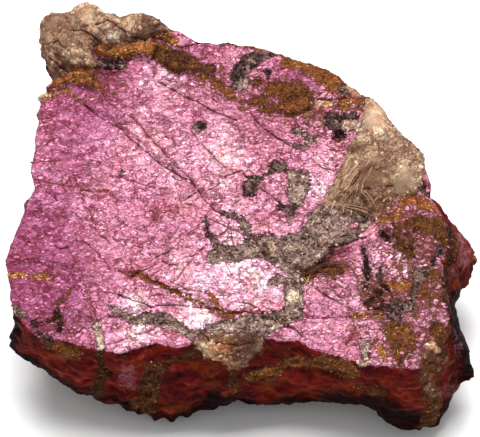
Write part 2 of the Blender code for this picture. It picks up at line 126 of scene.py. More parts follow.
# Lowest edge that shows, from the right shoulder round the front to the left end:
# pixel, pixel, height over the ground in mm
LOWER_EDGE_PX = [
    (431, 197, 25), (437, 203, 24), (443, 209, 23.5), (450, 219, 22), (457, 227, 20),
    (464, 236, 18.5), (471, 245, 17), (475, 251, 16.5), (476, 260, 16), (473, 270, 15.5),
    (471, 278, 15), (468, 285, 14.5), (461, 290, 14), (460, 297, 14), (456, 303, 14),
    (454, 310, 14.5), (452, 318, 15), (455, 325, 15), (459, 334, 14.5), (463, 344, 14),
    (466, 352, 13), (470, 362, 12), (473, 370, 11), (475, 378, 10), (469, 381, 9.5),
    (463, 382, 9), (460, 385, 8.5), (458, 390, 8), (454, 394, 7), (450, 402, 6),
    (448, 409, 5), (443, 415, 4), (440, 420, 3.5), (438, 426, 3), (432, 428, 3),
    (423, 427, 3), (420, 431, 2.8), (416, 430, 3), (408, 430, 3), (400, 429, 3.2),
    (394, 426, 4), (388, 424, 4.6), (383, 419, 5.4), (377, 412, 6.6), (370, 408, 7.4),
    (362, 405, 8), (345, 404, 7.6), (330, 402, 7), (315, 402, 6), (300, 403, 5),
    (290, 405, 4.5), (282, 404, 4.5), (272, 405, 4.5), (258, 406, 4.5), (248, 403, 5),
    (238, 400, 5.5), (231, 402, 5.5), (226, 405, 5), (219, 406, 4.6), (214, 410, 4),
    (205, 410, 4), (198, 411, 3.8), (192, 415, 3.4), (188, 419, 3), (183, 417, 3),
    (178, 417, 3), (174, 421, 2.6), (170, 422, 2.6), (165, 418, 2.8), (160, 418, 2.8),
    (155, 422, 2.6), (150, 416, 3), (146, 414, 3.2), (142, 415, 3.2), (135, 412, 3.6),
    (128, 412, 3.8), (124, 409, 4.4), (120, 405, 5), (106, 405, 5.6), (101, 403, 6),
    (96, 399, 6.6), (90, 396, 7), (82, 396, 7.4), (77, 394, 7.8), (70, 388, 8.6),
    (62, 384, 9.2), (57, 379, 10), (52, 377, 10.4), (44, 369, 11.6), (39, 368, 12),
    (35, 365, 12.4), (30, 360, 13), (25, 360, 13), (20, 357, 13.6), (13, 350, 14.6),
    (10, 346, 15), (12, 342, 15.6), (13, 336, 16.4), (16, 331, 17.4), (15, 325, 19),
    (14, 318, 22),
]

# Raised and sunken forms of the face: outline in pixels, height in mm over the face that
# the outline lies at, height of the form in mm, and width in mm of its edge
FORMS = {
    "knob": (
        [(30, 31), (40, 8), (66, 2), (84, -8), (104, -2), (122, 8), (150, 6), (166, 18),
         (172, 31), (150, 37), (128, 42), (108, 46), (97, 44), (91, 52), (98, 60),
         (120, 61), (126, 66), (110, 69), (92, 66), (76, 66), (66, 70), (54, 76),
         (44, 68), (38, 52), (34, 42)],
        2.0, 3.6, 3.5),
    "knob crest": (
        [(70, 8), (84, -4), (104, 6), (118, 18), (127, 30), (122, 41), (104, 42),
         (92, 34), (80, 30), (70, 22)],
        4.0, 1.8, 3.0),
    "knob left block": (
        [(40, 20), (52, 14), (66, 20), (72, 34), (66, 46), (58, 56), (46, 52), (40, 40)],
        3.5, 1.2, 1.5),
    "knob low block": (
        [(66, 46), (80, 38), (92, 44), (90, 54), (96, 60), (84, 64), (70, 64), (60, 58)],
        3.5, 0.9, 1.5),
    "upper ochre ledge": (
        [(94, 48), (104, 43), (130, 44), (152, 38), (158, 46), (152, 58), (130, 57),
         (116, 61), (98, 56)],
        1.0, 2.0, 1.2),
    "lower ochre ledge": (
        [(42, 88), (56, 76), (74, 66), (92, 66), (98, 73), (92, 80), (104, 87), (86, 88),
         (68, 84), (56, 90)],
        0.5, 1.5, 1.2),
    "brown ledge": (
        [(156, 42), (176, 43), (192, 52), (200, 66), (216, 66), (216, 73), (196, 74),
         (176, 73), (162, 64), (154, 56)],
        0.3, 0.9, 1.0),
    "brown patch": (
        [(252, 84), (262, 82), (286, 80), (304, 84), (314, 94), (312, 110), (296, 115),
         (270, 114), (260, 108), (250, 102)],
        0.3, 0.8, 1.0),
    "dark striped hollow": (
        [(231, 78), (234, 68), (243, 58), (250, 52), (262, 54), (258, 66), (248, 72),
         (244, 80), (240, 90), (232, 90)],
        0.0, -0.8, 1.2),
    "lump": (
        [(358, 88), (380, 96), (396, 112), (410, 126), (428, 142), (434, 160), (430, 182),
         (418, 194), (402, 196), (393, 203), (381, 214), (366, 215), (350, 212), (335, 206),
         (324, 200), (328, 189), (336, 176), (343, 160), (347, 144), (355, 132), (361, 112)],
        1.5, 3.2, 6.0),
    "lump crest": (
        [(366, 104), (384, 112), (396, 128), (412, 148), (418, 166), (410, 184), (392, 182),
         (380, 160), (372, 140), (364, 122)],
        3.5, 1.6, 3.0),
    "smooth facet": (
        [(352, 188), (360, 172), (372, 164), (382, 168), (381, 186), (366, 190)],
        3.0, -0.9, 1.0),
    "matrix under the lump": (
        [(304, 212), (320, 204), (334, 204), (352, 212), (368, 214), (362, 226), (356, 240),
         (332, 248), (318, 266), (304, 274), (286, 262), (270, 258), (256, 256), (262, 238),
         (284, 236), (300, 230)],
        0.4, 1.1, 1.4),
    "hole by the lump": (
        [(334, 130), (344, 129), (346, 136), (340, 141), (334, 138)],
        0.5, -2.4, 1.2),
    "gap under the matrix": (
        [(318, 262), (332, 249), (352, 246), (352, 250), (338, 254), (324, 268)],
        0.3, -1.4, 0.8),
    "right mosaic": (
        [(366, 222), (400, 198), (430, 200), (440, 216), (446, 236), (440, 262), (436, 300),
         (440, 320), (424, 350), (400, 362), (388, 330), (380, 300), (366, 260)],
        0.2, 0.7, 3.0),
    "pit in the mosaic": (
        [(380, 230), (390, 230), (392, 240), (384, 243), (379, 238)],
        0.3, -1.8, 0.9),
    "left step": (
        [(0, 262), (30, 259), (64, 264), (74, 272), (66, 290), (56, 306), (30, 312),
         (6, 306), (0, 280)],
        0.0, -0.6, 1.2),
    "near left step": (
        [(24, 312), (60, 306), (96, 318), (96, 352), (60, 344), (36, 340), (20, 326)],
        0.0, -0.5, 1.4),
    "middle rise": (
        [(120, 110), (190, 120), (236, 150), (240, 196), (200, 214), (160, 190), (120, 150)],
        0.0, 0.6, 8.0),
}

# Cracks deep enough to be grooves: course in pixels, depth in mm, half width in mm
GROOVES = {
    "long crack": ([(85, 105), (120, 125), (160, 162), (180, 176), (199, 190), (221, 213)],
                   0.5, 0.6),
    "second crack": ([(130, 115), (150, 140), (180, 170), (198, 187)], 0.4, 0.6),
    "crack under the knob": ([(46, 56), (56, 62), (64, 70), (72, 72)], 1.6, 1.2),
    "reddish crack": ([(120, 272), (140, 276), (170, 290), (205, 300), (222, 313)], 0.5, 0.7),
    "upright crack": ([(363, 246), (367, 262), (368, 279)], 1.2, 1.1),
    "right edge crack": ([(446, 222), (452, 240), (444, 262), (447, 286)], 0.8, 1.2),
    "level crack": ([(306, 317), (340, 318), (386, 315)], 0.5, 0.6),
}

# A crack down the right front corner that parts a thin fin from the wall
FIN_CRACK_PX = [(450, 322, 26), (454, 338, 22), (458, 352, 18), (458, 366, 13), (450, 384, 8)]
FIN_CRACK_DEPTH = 1.6 * MM
FIN_CRACK_HALF_WIDTH = 1.6 * MM


def line_of_sight(pixels):
    """Eye point and one direction for each pixel."""
    pixels = np.asarray(pixels, dtype=float)
    across = (pixels[:, 0] - PHOTO_MIDDLE[0]) / SIGHT_PX
    up = (PHOTO_MIDDLE[1] - pixels[:, 1]) / SIGHT_PX
    forward = VIEW_COSINE + up * VIEW_SINE
    upward = up * VIEW_COSINE - VIEW_SINE
    return EYE, np.stack([across, forward, upward], axis=1)


def on_face(pixels, lift=0.0):
    """Points where the lines of sight meet the plane of the face, raised by lift."""
    eye, direction = line_of_sight(pixels)
    height = FACE_HEIGHT + np.asarray(lift)
    steepness = direction[:, 2] - FACE_SLOPE * direction[:, 1]
    reach = (height + FACE_SLOPE * eye[1] - eye[2]) / steepness
    return eye + direction * reach[:, None]


def at_height(pixels, height):
    """Points where the lines of sight come down to a height over the ground."""
    eye, direction = line_of_sight(pixels)
    reach = (np.asarray(height) - eye[2]) / direction[:, 2]
    return eye + direction * reach[:, None]


def round_the_middle(points, angles):
    """Radius and height of a traced loop at each angle round the origin."""
    angle = np.arctan2(points[:, 1], points[:, 0])
    order = np.argsort(angle)
    radius = np.hypot(points[:, 0], points[:, 1])[order]
    height = points[:, 2][order]
    turn = 2.0 * math.pi
    return (
        np.interp(angles, angle[order], radius, period=turn),
        np.interp(angles, angle[order], height, period=turn),
    )


def new_object(name, data):
    """An object in the scene, at the origin."""
    made = bpy.data.objects.new(name, data)
    bpy.context.scene.collection.objects.link(made)
    return made


def ring(radius, height, angles):
    return np.stack([radius * np.cos(angles), radius * np.sin(angles), height], axis=1)


def lower_edge(angles):
    """Radius and height of the lower edge at each angle, and whether it was traced there."""
    edge_px = np.array(LOWER_EDGE_PX)
    edge = at_height(edge_px[:, :2], edge_px[:, 2] * MM)
    radius, height = round_the_middle(edge, angles)
    first = math.atan2(edge[-1, 1], edge[-1, 0])
    last = math.atan2(edge[0, 1], edge[0, 0])
    shows = (angles > first) & (angles < last)
    return radius + EDGE_ALLOWANCE, np.where(shows, height, HIDDEN_EDGE_HEIGHT), shows


def stone_rings():
    """Closed rings from the flat spot up to the rim."""
    angles = np.linspace(-math.pi, math.pi, COLUMNS, endpoint=False)
    rim_px = np.array(RIM_PX)
    rim = on_face(rim_px[:, :2], rim_px[:, 2] * MM)
    rim_radius = round_the_middle(rim, angles)[0] + RIM_ALLOWANCE
    rim_height = FACE_HEIGHT + FACE_SLOPE * rim_radius * np.sin(angles)

    edge_radius, edge_height, shows = lower_edge(angles)
    edge_radius = np.where(shows, edge_radius, rim_radius * HIDDEN_EDGE_SHARE)
    facing = np.abs(np.sin(angles))
    middle_radius = rim_radius + WALL_EDGE_SHARE * (edge_radius - rim_radius)
    middle_radius += WALL_BULGE * (2.0 * facing - 1.0)
    middle_height = (rim_height + edge_height) / 2.0
    base_height = BASE_LEAST_HEIGHT + edge_height * BASE_LIFT_SHARE
    spot_height = np.full(COLUMNS, -SPOT_DEPTH)
    return [
        ring(edge_radius * SPOT_SHARE, spot_height, angles),
        ring(edge_radius * BASE_SHARE, base_height, angles),
        ring(edge_radius, edge_height, angles),
        ring(middle_radius, middle_height, angles),
        ring(rim_radius, rim_height, angles),
    ]


def lofted_block():
    """The plain block: rings skinned to each other, with a cap below and one on top."""
    rings = stone_rings()
    block = bmesh.new()
    levels = [[block.verts.new(point) for point in points] for points in rings]
    for lower, upper in zip(levels, levels[1:]):
        for column in range(COLUMNS):
            beside = (column + 1) % COLUMNS
            block.faces.new((lower[column], lower[beside], upper[beside], upper[column]))
    caps = ((levels[0], -SPOT_DEPTH), (levels[-1], FACE_HEIGHT))
    for level, height in caps:
        middle = block.verts.new((0.0, 0.0, height))
        for column in range(COLUMNS):
            block.faces.new((level[column], level[(column + 1) % COLUMNS], middle))
    bmesh.ops.recalc_face_normals(block, faces=block.faces)
    return block


def distance_inside(points, outline):
    """Distance to a closed outline in the ground plane, positive inside it."""
    outline = np.asarray(outline, dtype=float)
    nearest = np.full(len(points), np.inf)
    inside = np.zeros(len(points), dtype=bool)
    for (ax, ay), (bx, by) in zip(outline, np.roll(outline, -1, axis=0)):
        run = np.array([bx - ax, by - ay])
        offset = points - (ax, ay)
        share = np.clip(offset @ run / (run @ run), 0.0, 1.0)
        gap = np.hypot(offset[:, 0] - share * run[0], offset[:, 1] - share * run[1])
        nearest = np.minimum(nearest, gap)
        if ay != by:
            crosses = (ay > points[:, 1]) != (by > points[:, 1])
            inside ^= crosses & (points[:, 0] < ax + run[0] * (points[:, 1] - ay) / run[1])
    return np.where(inside, nearest, -nearest)


def distance_to_line(points, line):
    """Distance to an open line, in as many dimensions as the line has."""
    nearest = np.full(len(points), np.inf)
    for start, end in zip(line, line[1:]):
        run = end - start
        share = np.clip((points - start) @ run / (run @ run), 0.0, 1.0)
        gap = np.linalg.norm(points - start - share[:, None] * run, axis=1)
        nearest = np.minimum(nearest, gap)
    return nearest


def smooth_step(values):
    values = np.clip(values, 0.0, 1.0)
    return values * values * (3.0 - 2.0 * values)


def rough(points, size, octaves=3, seed=0.0):
    """Smooth noise between about -1 and 1, with lumps of the given size."""
    offset = Vector((seed, seed * 1.7, -seed))
    return np.array(
        [noise.fractal(Vector(point) / size + offset, 1.0, 2.0, octaves) for point in points]
    )


def chipped(points, size, seed=0.0):
    """Flat chips of the given size, each with a slant of its own that fades at its edge."""
    noise.seed_set(SLANT_SEED)
    offset = Vector((seed, -seed, seed * 0.6))
    heights = []
    for point in points:
        place = Vector(point) / size + offset
        distances, chips = noise.voronoi(place)
        slant = noise.noise_vector(chips[0] * CHIP_SEED).dot(place - chips[0])
        heights.append(slant * min(1.0, CHIP_EDGE * (distances[1] - distances[0])))
    return np.array(heights) * size


def face_relief(points):
    """Height of the lumps, ledges, pits and cracks of the face over its plane."""
    plan = points[:, :2]
    relief = SWELL * rough(points, SWELL_SIZE)
    for outline_px, lift, height, edge in FORMS.values():
        outline = on_face(outline_px, lift * MM)[:, :2]
        inside = distance_inside(plan, outline)
        relief += height * MM * smooth_step(inside / (edge * MM) + FORM_EDGE_START)
    for course_px, depth, half_width in GROOVES.values():
        gap = distance_to_line(plan, on_face(course_px)[:, :2])
        relief -= depth * MM * smooth_step(1.0 - gap / (half_width * MM))
    return relief


def points_and_normals(mesh):
    """The points of a mesh and the directions they face, as two tables."""
    points = np.empty(len(mesh.vertices) * 3)
    normals = np.empty(len(mesh.vertices) * 3)
    mesh.vertices.foreach_get("co", points)
    mesh.vertices.foreach_get("normal", normals)
    return points.reshape(-1, 3), normals.reshape(-1, 3)


def depth_under_face(points):
    return FACE_HEIGHT + FACE_SLOPE * points[:, 1] - points[:, 2]


def carve(mesh):
    """Give the plain block the relief of its face, its broken walls and its underside."""
    points, normals = points_and_normals(mesh)
    below_face = depth_under_face(points)
    edge_radius, edge_height, shows = lower_edge(np.arctan2(points[:, 1], points[:, 0]))
    over_edge = points[:, 2] - edge_height
    inside_edge = edge_radius - np.hypot(points[:, 0], points[:, 1])
    up_share = smooth_step(1.0 - below_face / FORM_DEPTH)
    wall_share = smooth_step(below_face / EDGE_FADE) * smooth_step(over_edge / EDGE_FADE)
    under_share = smooth_step(-normals[:, 2]) * smooth_step(inside_edge / EDGE_FADE)

    outward = normals.copy()
    outward[:, 2] = 0.0
    outward /= np.maximum(np.linalg.norm(outward, axis=1), LEAST_OUTWARD)[:, None]
    wall = WALL_LUMP * rough(points, WALL_LUMP_SIZE, seed=3.1)
    wall += WALL_LAYER * rough(points * LAYER_SQUASH, WALL_LAYER_SIZE, seed=7.7)
    wall += CHIP_SLANT * chipped(points, CHIP_SIZE, seed=2.3)
    fin_crack_px = np.array(FIN_CRACK_PX)
    gap = distance_to_line(points, at_height(fin_crack_px[:, :2], fin_crack_px[:, 2] * MM))
    wall -= FIN_CRACK_DEPTH * smooth_step(1.0 - gap / FIN_CRACK_HALF_WIDTH)
    under = UNDERSIDE_LUMP * rough(points, UNDERSIDE_LUMP_SIZE, seed=5.3)

    moved = points + outward * (wall * wall_share)[:, None]
    moved[:, 2] += under * under_share
    moved[:, 2] += face_relief(points) * up_share
    mesh.vertices.foreach_set("co", moved.ravel())
    mesh.update()


def applied(scene_object):
    """Replace the object's mesh by the one that its modifiers give."""
    graph = bpy.context.evaluated_depsgraph_get()
    mesh = bpy.data.meshes.new_from_object(scene_object.evaluated_get(graph))
    scene_object.modifiers.clear()
    scene_object.data = mesh


def cut_flat_spot(mesh):
    """Cut the underside at the ground, which leaves the flat spot that the stone lies on."""
    cut = bmesh.new()
    cut.from_mesh(mesh)
    bmesh.ops.bisect_plane(
        cut,
        geom=cut.verts[:] + cut.edges[:] + cut.faces[:],
        dist=CUT_TOLERANCE,
        plane_co=(0.0, 0.0, 0.0),
        plane_no=(0.0, 0.0, 1.0),
        clear_inner=True,
    )
    open_edges = [edge for edge in cut.edges if edge.is_boundary]
    bmesh.ops.holes_fill(cut, edges=open_edges, sides=0)
    bmesh.ops.triangulate(cut, faces=cut.faces[:])
    bmesh.ops.recalc_face_normals(cut, faces=cut.faces)
    cut.to_mesh(mesh)
    cut.free()


def seen_at(points):
    """The picture's pixel that each point shows at."""
    offset = points - EYE
    depth = offset @ FORWARD
    across = PHOTO_MIDDLE[0] + SIGHT_PX * offset[:, 0] / depth
    down = PHOTO_MIDDLE[1] - SIGHT_PX * (offset @ UPWARD) / depth
    return np.stack([across, down], axis=1)


def out_of_sight(points):
    """True on the walls at the back and on the underside, which the picture doesn't show."""
    edge_radius, edge_height, shows = lower_edge(np.arctan2(points[:, 1], points[:, 0]))
    at_the_back = ~shows & (depth_under_face(points) > RIM_SHOWS)
    underneath = shows & (points[:, 2] < edge_height - EDGE_SHOWS)
    return at_the_back | underneath


block = lofted_block()
stone_mesh = bpy.data.meshes.new("purpurite_stone")
block.to_mesh(stone_mesh)
block.free()
stone = new_object("purpurite_stone", stone_mesh)

even_faces = stone.modifiers.new("even faces", "REMESH")
even_faces.mode = "VOXEL"
even_faces.voxel_size = VOXEL
applied(stone)
carve(stone.data)

points, normals = points_and_normals(stone.data)
far_side = np.nonzero(out_of_sight(points))[0].tolist()
stone.vertex_groups.new(name="far side").add(far_side, 1.0, "REPLACE")
thin = stone.modifiers.new("fewer faces on the far side", "DECIMATE")
thin.vertex_group = "far side"
thin.ratio = 1.0 - (1.0 - FAR_SIDE_SHARE) * len(far_side) / len(stone.data.vertices)
applied(stone)
stone.vertex_groups.clear()
cut_flat_spot(stone.data)

# Where each mineral shows on the stone: the tone of the patch, from dark 0 to light 1, and its
# outline in pixels. Grey is the quartz-like matrix of the veins, and a few near-black grey patches
# are painted shade in hollows, under a ledge and by the rim. Tan is feldspar, ochre is the iron
# oxide in cracks and on ledges.
GREY = {
    "striped patch": (0.25, [
        (232, 70), (236, 66), (240, 60), (240, 56), (245, 55), (250, 52), (258, 51),
        (264, 54), (272, 53), (276, 55), (270, 58), (262, 60), (260, 64), (254, 68),
        (250, 71), (246, 74), (244, 78), (241, 84), (238, 90), (234, 91), (232, 86),
        (234, 82), (231, 78)]),
    "striped patch, light end": (0.5, [
        (240, 78), (246, 76), (251, 78), (250, 84), (244, 89), (238, 92), (236, 88)]),
    "small wedge": (0.1, [(263, 70), (273, 70), (268, 78)]),
    "small spot": (0.25, [
        (193, 126), (196, 123), (202, 122), (207, 124), (206, 129), (200, 131), (195, 129)]),
    "left spot": (0.35, [(120, 172), (123, 170), (125, 173), (123, 176), (120, 175)]),
    "ring": (0.45, [
        (293, 129), (297, 126), (301, 129), (303, 132), (308, 134), (313, 135), (318, 139),
        (312, 141), (308, 144), (306, 148), (303, 150), (296, 149), (293, 145), (296, 144),
        (300, 144), (304, 142), (304, 138), (301, 136), (296, 136), (293, 133)]),
    "hook, left blob": (0.22, [
        (243, 184), (246, 179), (249, 176), (254, 175), (257, 177), (261, 178), (266, 173),
        (269, 168), (271, 163), (274, 160), (280, 161), (285, 165), (288, 168), (288, 174),
        (283, 171), (277, 172), (271, 173), (266, 176), (262, 179), (259, 183), (258, 189),
        (255, 196), (250, 198), (245, 196), (242, 192)]),
    "hook, right side": (0.54, [
        (286, 168), (293, 169), (300, 171), (306, 174), (310, 180), (309, 188), (306, 196),
        (303, 202), (299, 206), (294, 205), (287, 198), (287, 190), (289, 182), (287, 174)]),
    "hook, tip": (0.15, [
        (303, 200), (299, 208), (295, 212), (291, 217), (286, 217), (284, 211), (278, 209),
        (274, 205), (279, 204), (285, 207), (290, 204), (296, 203)]),
    "main vein, tip": (0.2, [
        (201, 222), (203, 219), (206, 216), (209, 219), (208, 224), (210, 229), (213, 235),
        (217, 240), (213, 244), (210, 239), (205, 236), (206, 231), (203, 227)]),
    "main vein, left": (0.46, [
        (210, 229), (213, 235), (217, 240), (221, 244), (226, 246), (232, 246), (238, 245),
        (242, 242), (247, 244), (252, 247), (256, 257), (247, 258), (240, 261), (232, 262),
        (222, 263), (212, 264), (206, 260), (208, 256), (212, 250), (213, 244), (208, 238)]),
    "main vein, right": (0.4, [
        (220, 213), (223, 211), (229, 212), (235, 213), (242, 218), (247, 222), (251, 226),
        (250, 233), (253, 237), (258, 236), (266, 234), (273, 233), (276, 237), (274, 246),
        (264, 259), (256, 257), (250, 250), (242, 242), (245, 236), (243, 230), (239, 224),
        (235, 219), (231, 217), (225, 216)]),
    "matrix under the lump": (0.48, [
        (276, 237), (283, 237), (290, 234), (298, 232), (304, 228), (307, 222), (309, 214),
        (313, 208), (320, 205), (332, 206), (346, 210), (360, 213), (372, 216), (376, 219),
        (368, 226), (362, 233), (356, 239), (346, 244), (335, 247), (326, 256), (318, 263),
        (308, 268), (300, 275), (303, 290), (304, 312), (296, 318), (290, 312), (284, 311),
        (285, 300), (283, 290), (288, 280), (290, 274), (282, 269), (275, 265), (270, 262),
        (264, 259), (270, 250)]),
    "smoky spot": (0.5, [
        (268, 284), (270, 279), (276, 275), (286, 277), (288, 282), (281, 284), (274, 286)]),
    "near vein": (0.5, [
        (108, 307), (113, 306), (120, 308), (125, 312), (132, 315), (140, 315), (148, 311),
        (156, 311), (166, 313), (174, 317), (180, 324), (188, 328), (196, 329), (200, 332),
        (197, 336), (194, 342), (188, 338), (182, 334), (172, 330), (164, 327), (156, 325),
        (146, 324), (138, 324), (130, 322), (122, 317), (114, 312)]),
    "near vein, striped": (0.15, [
        (143, 313), (150, 311), (158, 311), (168, 314), (174, 318), (176, 326), (168, 327),
        (156, 325), (146, 323), (143, 319)]),
    "near vein, right": (0.48, [
        (196, 329), (204, 327), (212, 323), (222, 320), (234, 319), (244, 316), (250, 315),
        (262, 315), (264, 312), (274, 311), (286, 311), (300, 312), (303, 318), (294, 322),
        (284, 326), (276, 330), (270, 334), (264, 338), (258, 334), (240, 333), (226, 334),
        (206, 334), (198, 334)]),
    "near vein, dark end": (0.15, [
        (263, 313), (274, 312), (284, 313), (282, 320), (270, 322), (263, 320)]),
    "upright vein": (0.72, [
        (93, 325), (97, 321), (101, 324), (104, 338), (105, 349), (98, 351), (95, 338)]),
    "grey slab": (0.6, [
        (361, 339), (365, 338), (370, 341), (369, 350), (369, 360), (360, 360), (360, 350)]),
    "upright crack": (0.05, [
        (361, 246), (365, 246), (366, 254), (369, 262), (370, 272), (368, 282), (364, 276),
        (363, 268), (364, 260), (362, 254)]),
    "dark gap": (0.12, [
        (376, 268), (380, 268), (382, 276), (383, 284), (390, 286), (388, 290), (380, 287),
        (377, 280)]),
    "mosaic grey": (0.32, [
        (416, 268), (424, 267), (430, 268), (427, 276), (425, 281), (420, 282), (417, 290),
        (416, 300), (413, 310), (404, 312), (400, 318), (393, 320), (388, 318), (387, 311),
        (392, 308), (391, 303), (392, 297), (397, 300), (404, 303), (408, 301), (411, 295),
        (413, 288), (414, 282), (413, 275)]),
    "speckled": (0.2, [
        (388, 306), (392, 303), (399, 304), (401, 312), (398, 320), (392, 321), (387, 317)]),
    "mosaic dark bit": (0.15, [
        (437, 246), (443, 247), (443, 252), (438, 258), (434, 266), (430, 268), (432, 260),
        (436, 254)]),
    "edge dark bit": (0.2, [(447, 229), (451, 229), (453, 238), (450, 243), (447, 240)]),
    "smoky patch": (0.18, [
        (326, 112), (334, 114), (342, 117), (346, 113), (360, 114), (358, 120), (350, 119),
        (344, 124), (340, 128), (334, 130), (326, 128), (324, 122)]),
    # Painted shade, nearly black, in the hole by the lump
    "hole": (0.0, [
        (334, 132), (340, 128), (346, 132), (345, 138), (338, 142), (333, 138)]),
    # Painted shade, nearly black, in the pit in the mosaic
    "pit": (0.08, [(380, 231), (384, 232), (388, 237), (391, 240), (386, 242), (382, 238)]),
    "left notch": (0.45, [
        (11, 303), (18, 306), (26, 311), (27, 316), (20, 318), (12, 312)]),
    # Painted shade under the upper ochre ledge
    "painted shade under the ledge": (0.2, [
        (100, 60), (118, 60), (128, 62), (126, 68), (112, 70), (100, 68), (92, 67)]),
    # Painted shadow by the rim at the left front
    "shadow bit": (0.15, [
        (36, 330), (44, 334), (52, 338), (55, 341), (46, 342), (38, 337)]),
    "rim tip": (0.3, [(338, 86), (344, 84), (351, 92), (346, 96), (340, 94)]),
    "dark sliver under the lump": (0.35, [
        (422, 180), (426, 186), (430, 197), (424, 195), (420, 188)]),
}
TAN = {
    "lump": (0.62, [
        (366, 97), (370, 97), (378, 103), (386, 110), (388, 117), (394, 124), (400, 132),
        (409, 140), (417, 147), (424, 155), (425, 168), (422, 178), (420, 186), (417, 194),
        (408, 195), (400, 197), (393, 205), (386, 212), (380, 217), (366, 216), (350, 212),
        (335, 207), (322, 204), (326, 194), (330, 186), (336, 178), (341, 168), (344, 158),
        (346, 150), (352, 142), (358, 134), (362, 124), (364, 110)]),
    "knob": (0.5, [
        (32, 31), (38, 18), (50, 11), (60, 11), (70, 7), (76, 2), (84, 0), (92, 1),
        (104, 8), (120, 13), (132, 12), (145, 10), (153, 13), (160, 17), (168, 20),
        (176, 27), (165, 31), (152, 33), (148, 39), (130, 41), (118, 44), (104, 43),
        (97, 44), (92, 50), (94, 58), (100, 62), (96, 67), (88, 66), (78, 66), (70, 70),
        (66, 74), (56, 78), (46, 76), (42, 64), (36, 48), (32, 40)]),
    "patch over the edge": (0.5, [
        (197, 336), (203, 332), (212, 334), (226, 333), (240, 334), (252, 333), (262, 335),
        (264, 341), (262, 348), (260, 353), (255, 355), (250, 359), (248, 366), (240, 369),
        (230, 370), (224, 366), (220, 361), (212, 359), (204, 357), (200, 350), (194, 344)]),
    "corner": (0.3, [
        (426, 352), (430, 349), (436, 354), (446, 350), (450, 356), (446, 364), (440, 374),
        (438, 386), (444, 394), (440, 398), (432, 398), (426, 392), (421, 384), (420, 370),
        (421, 360)]),
    "corner, light spot": (0.9, [
        (427, 340), (432, 337), (438, 345), (441, 352), (434, 354), (428, 347)]),
    "light grains": (0.85, [
        (342, 121), (350, 120), (362, 122), (360, 130), (350, 131), (342, 130)]),
    "cream band": (0.9, [(287, 290), (296, 288), (300, 294), (298, 304), (290, 306), (286, 300)]),
    "cream blob": (0.7, [(268, 241), (274, 240), (277, 248), (275, 257), (269, 256), (267, 248)]),
    "slab foot": (0.75, [(357, 361), (370, 361), (368, 367), (358, 366)]),
    "left chips": (0.7, [(34, 98), (42, 93), (48, 91), (53, 92), (46, 97), (40, 102)]),
    "cream chip": (0.8, [(314, 103), (320, 100), (330, 100), (334, 103), (328, 106), (318, 107)]),
    "grey chip": (0.6, [(304, 112), (311, 110), (315, 113), (310, 118), (305, 117)]),
    "rim chip": (0.65, [(344, 80), (352, 86), (362, 93), (366, 98), (356, 98), (348, 94)]),
}
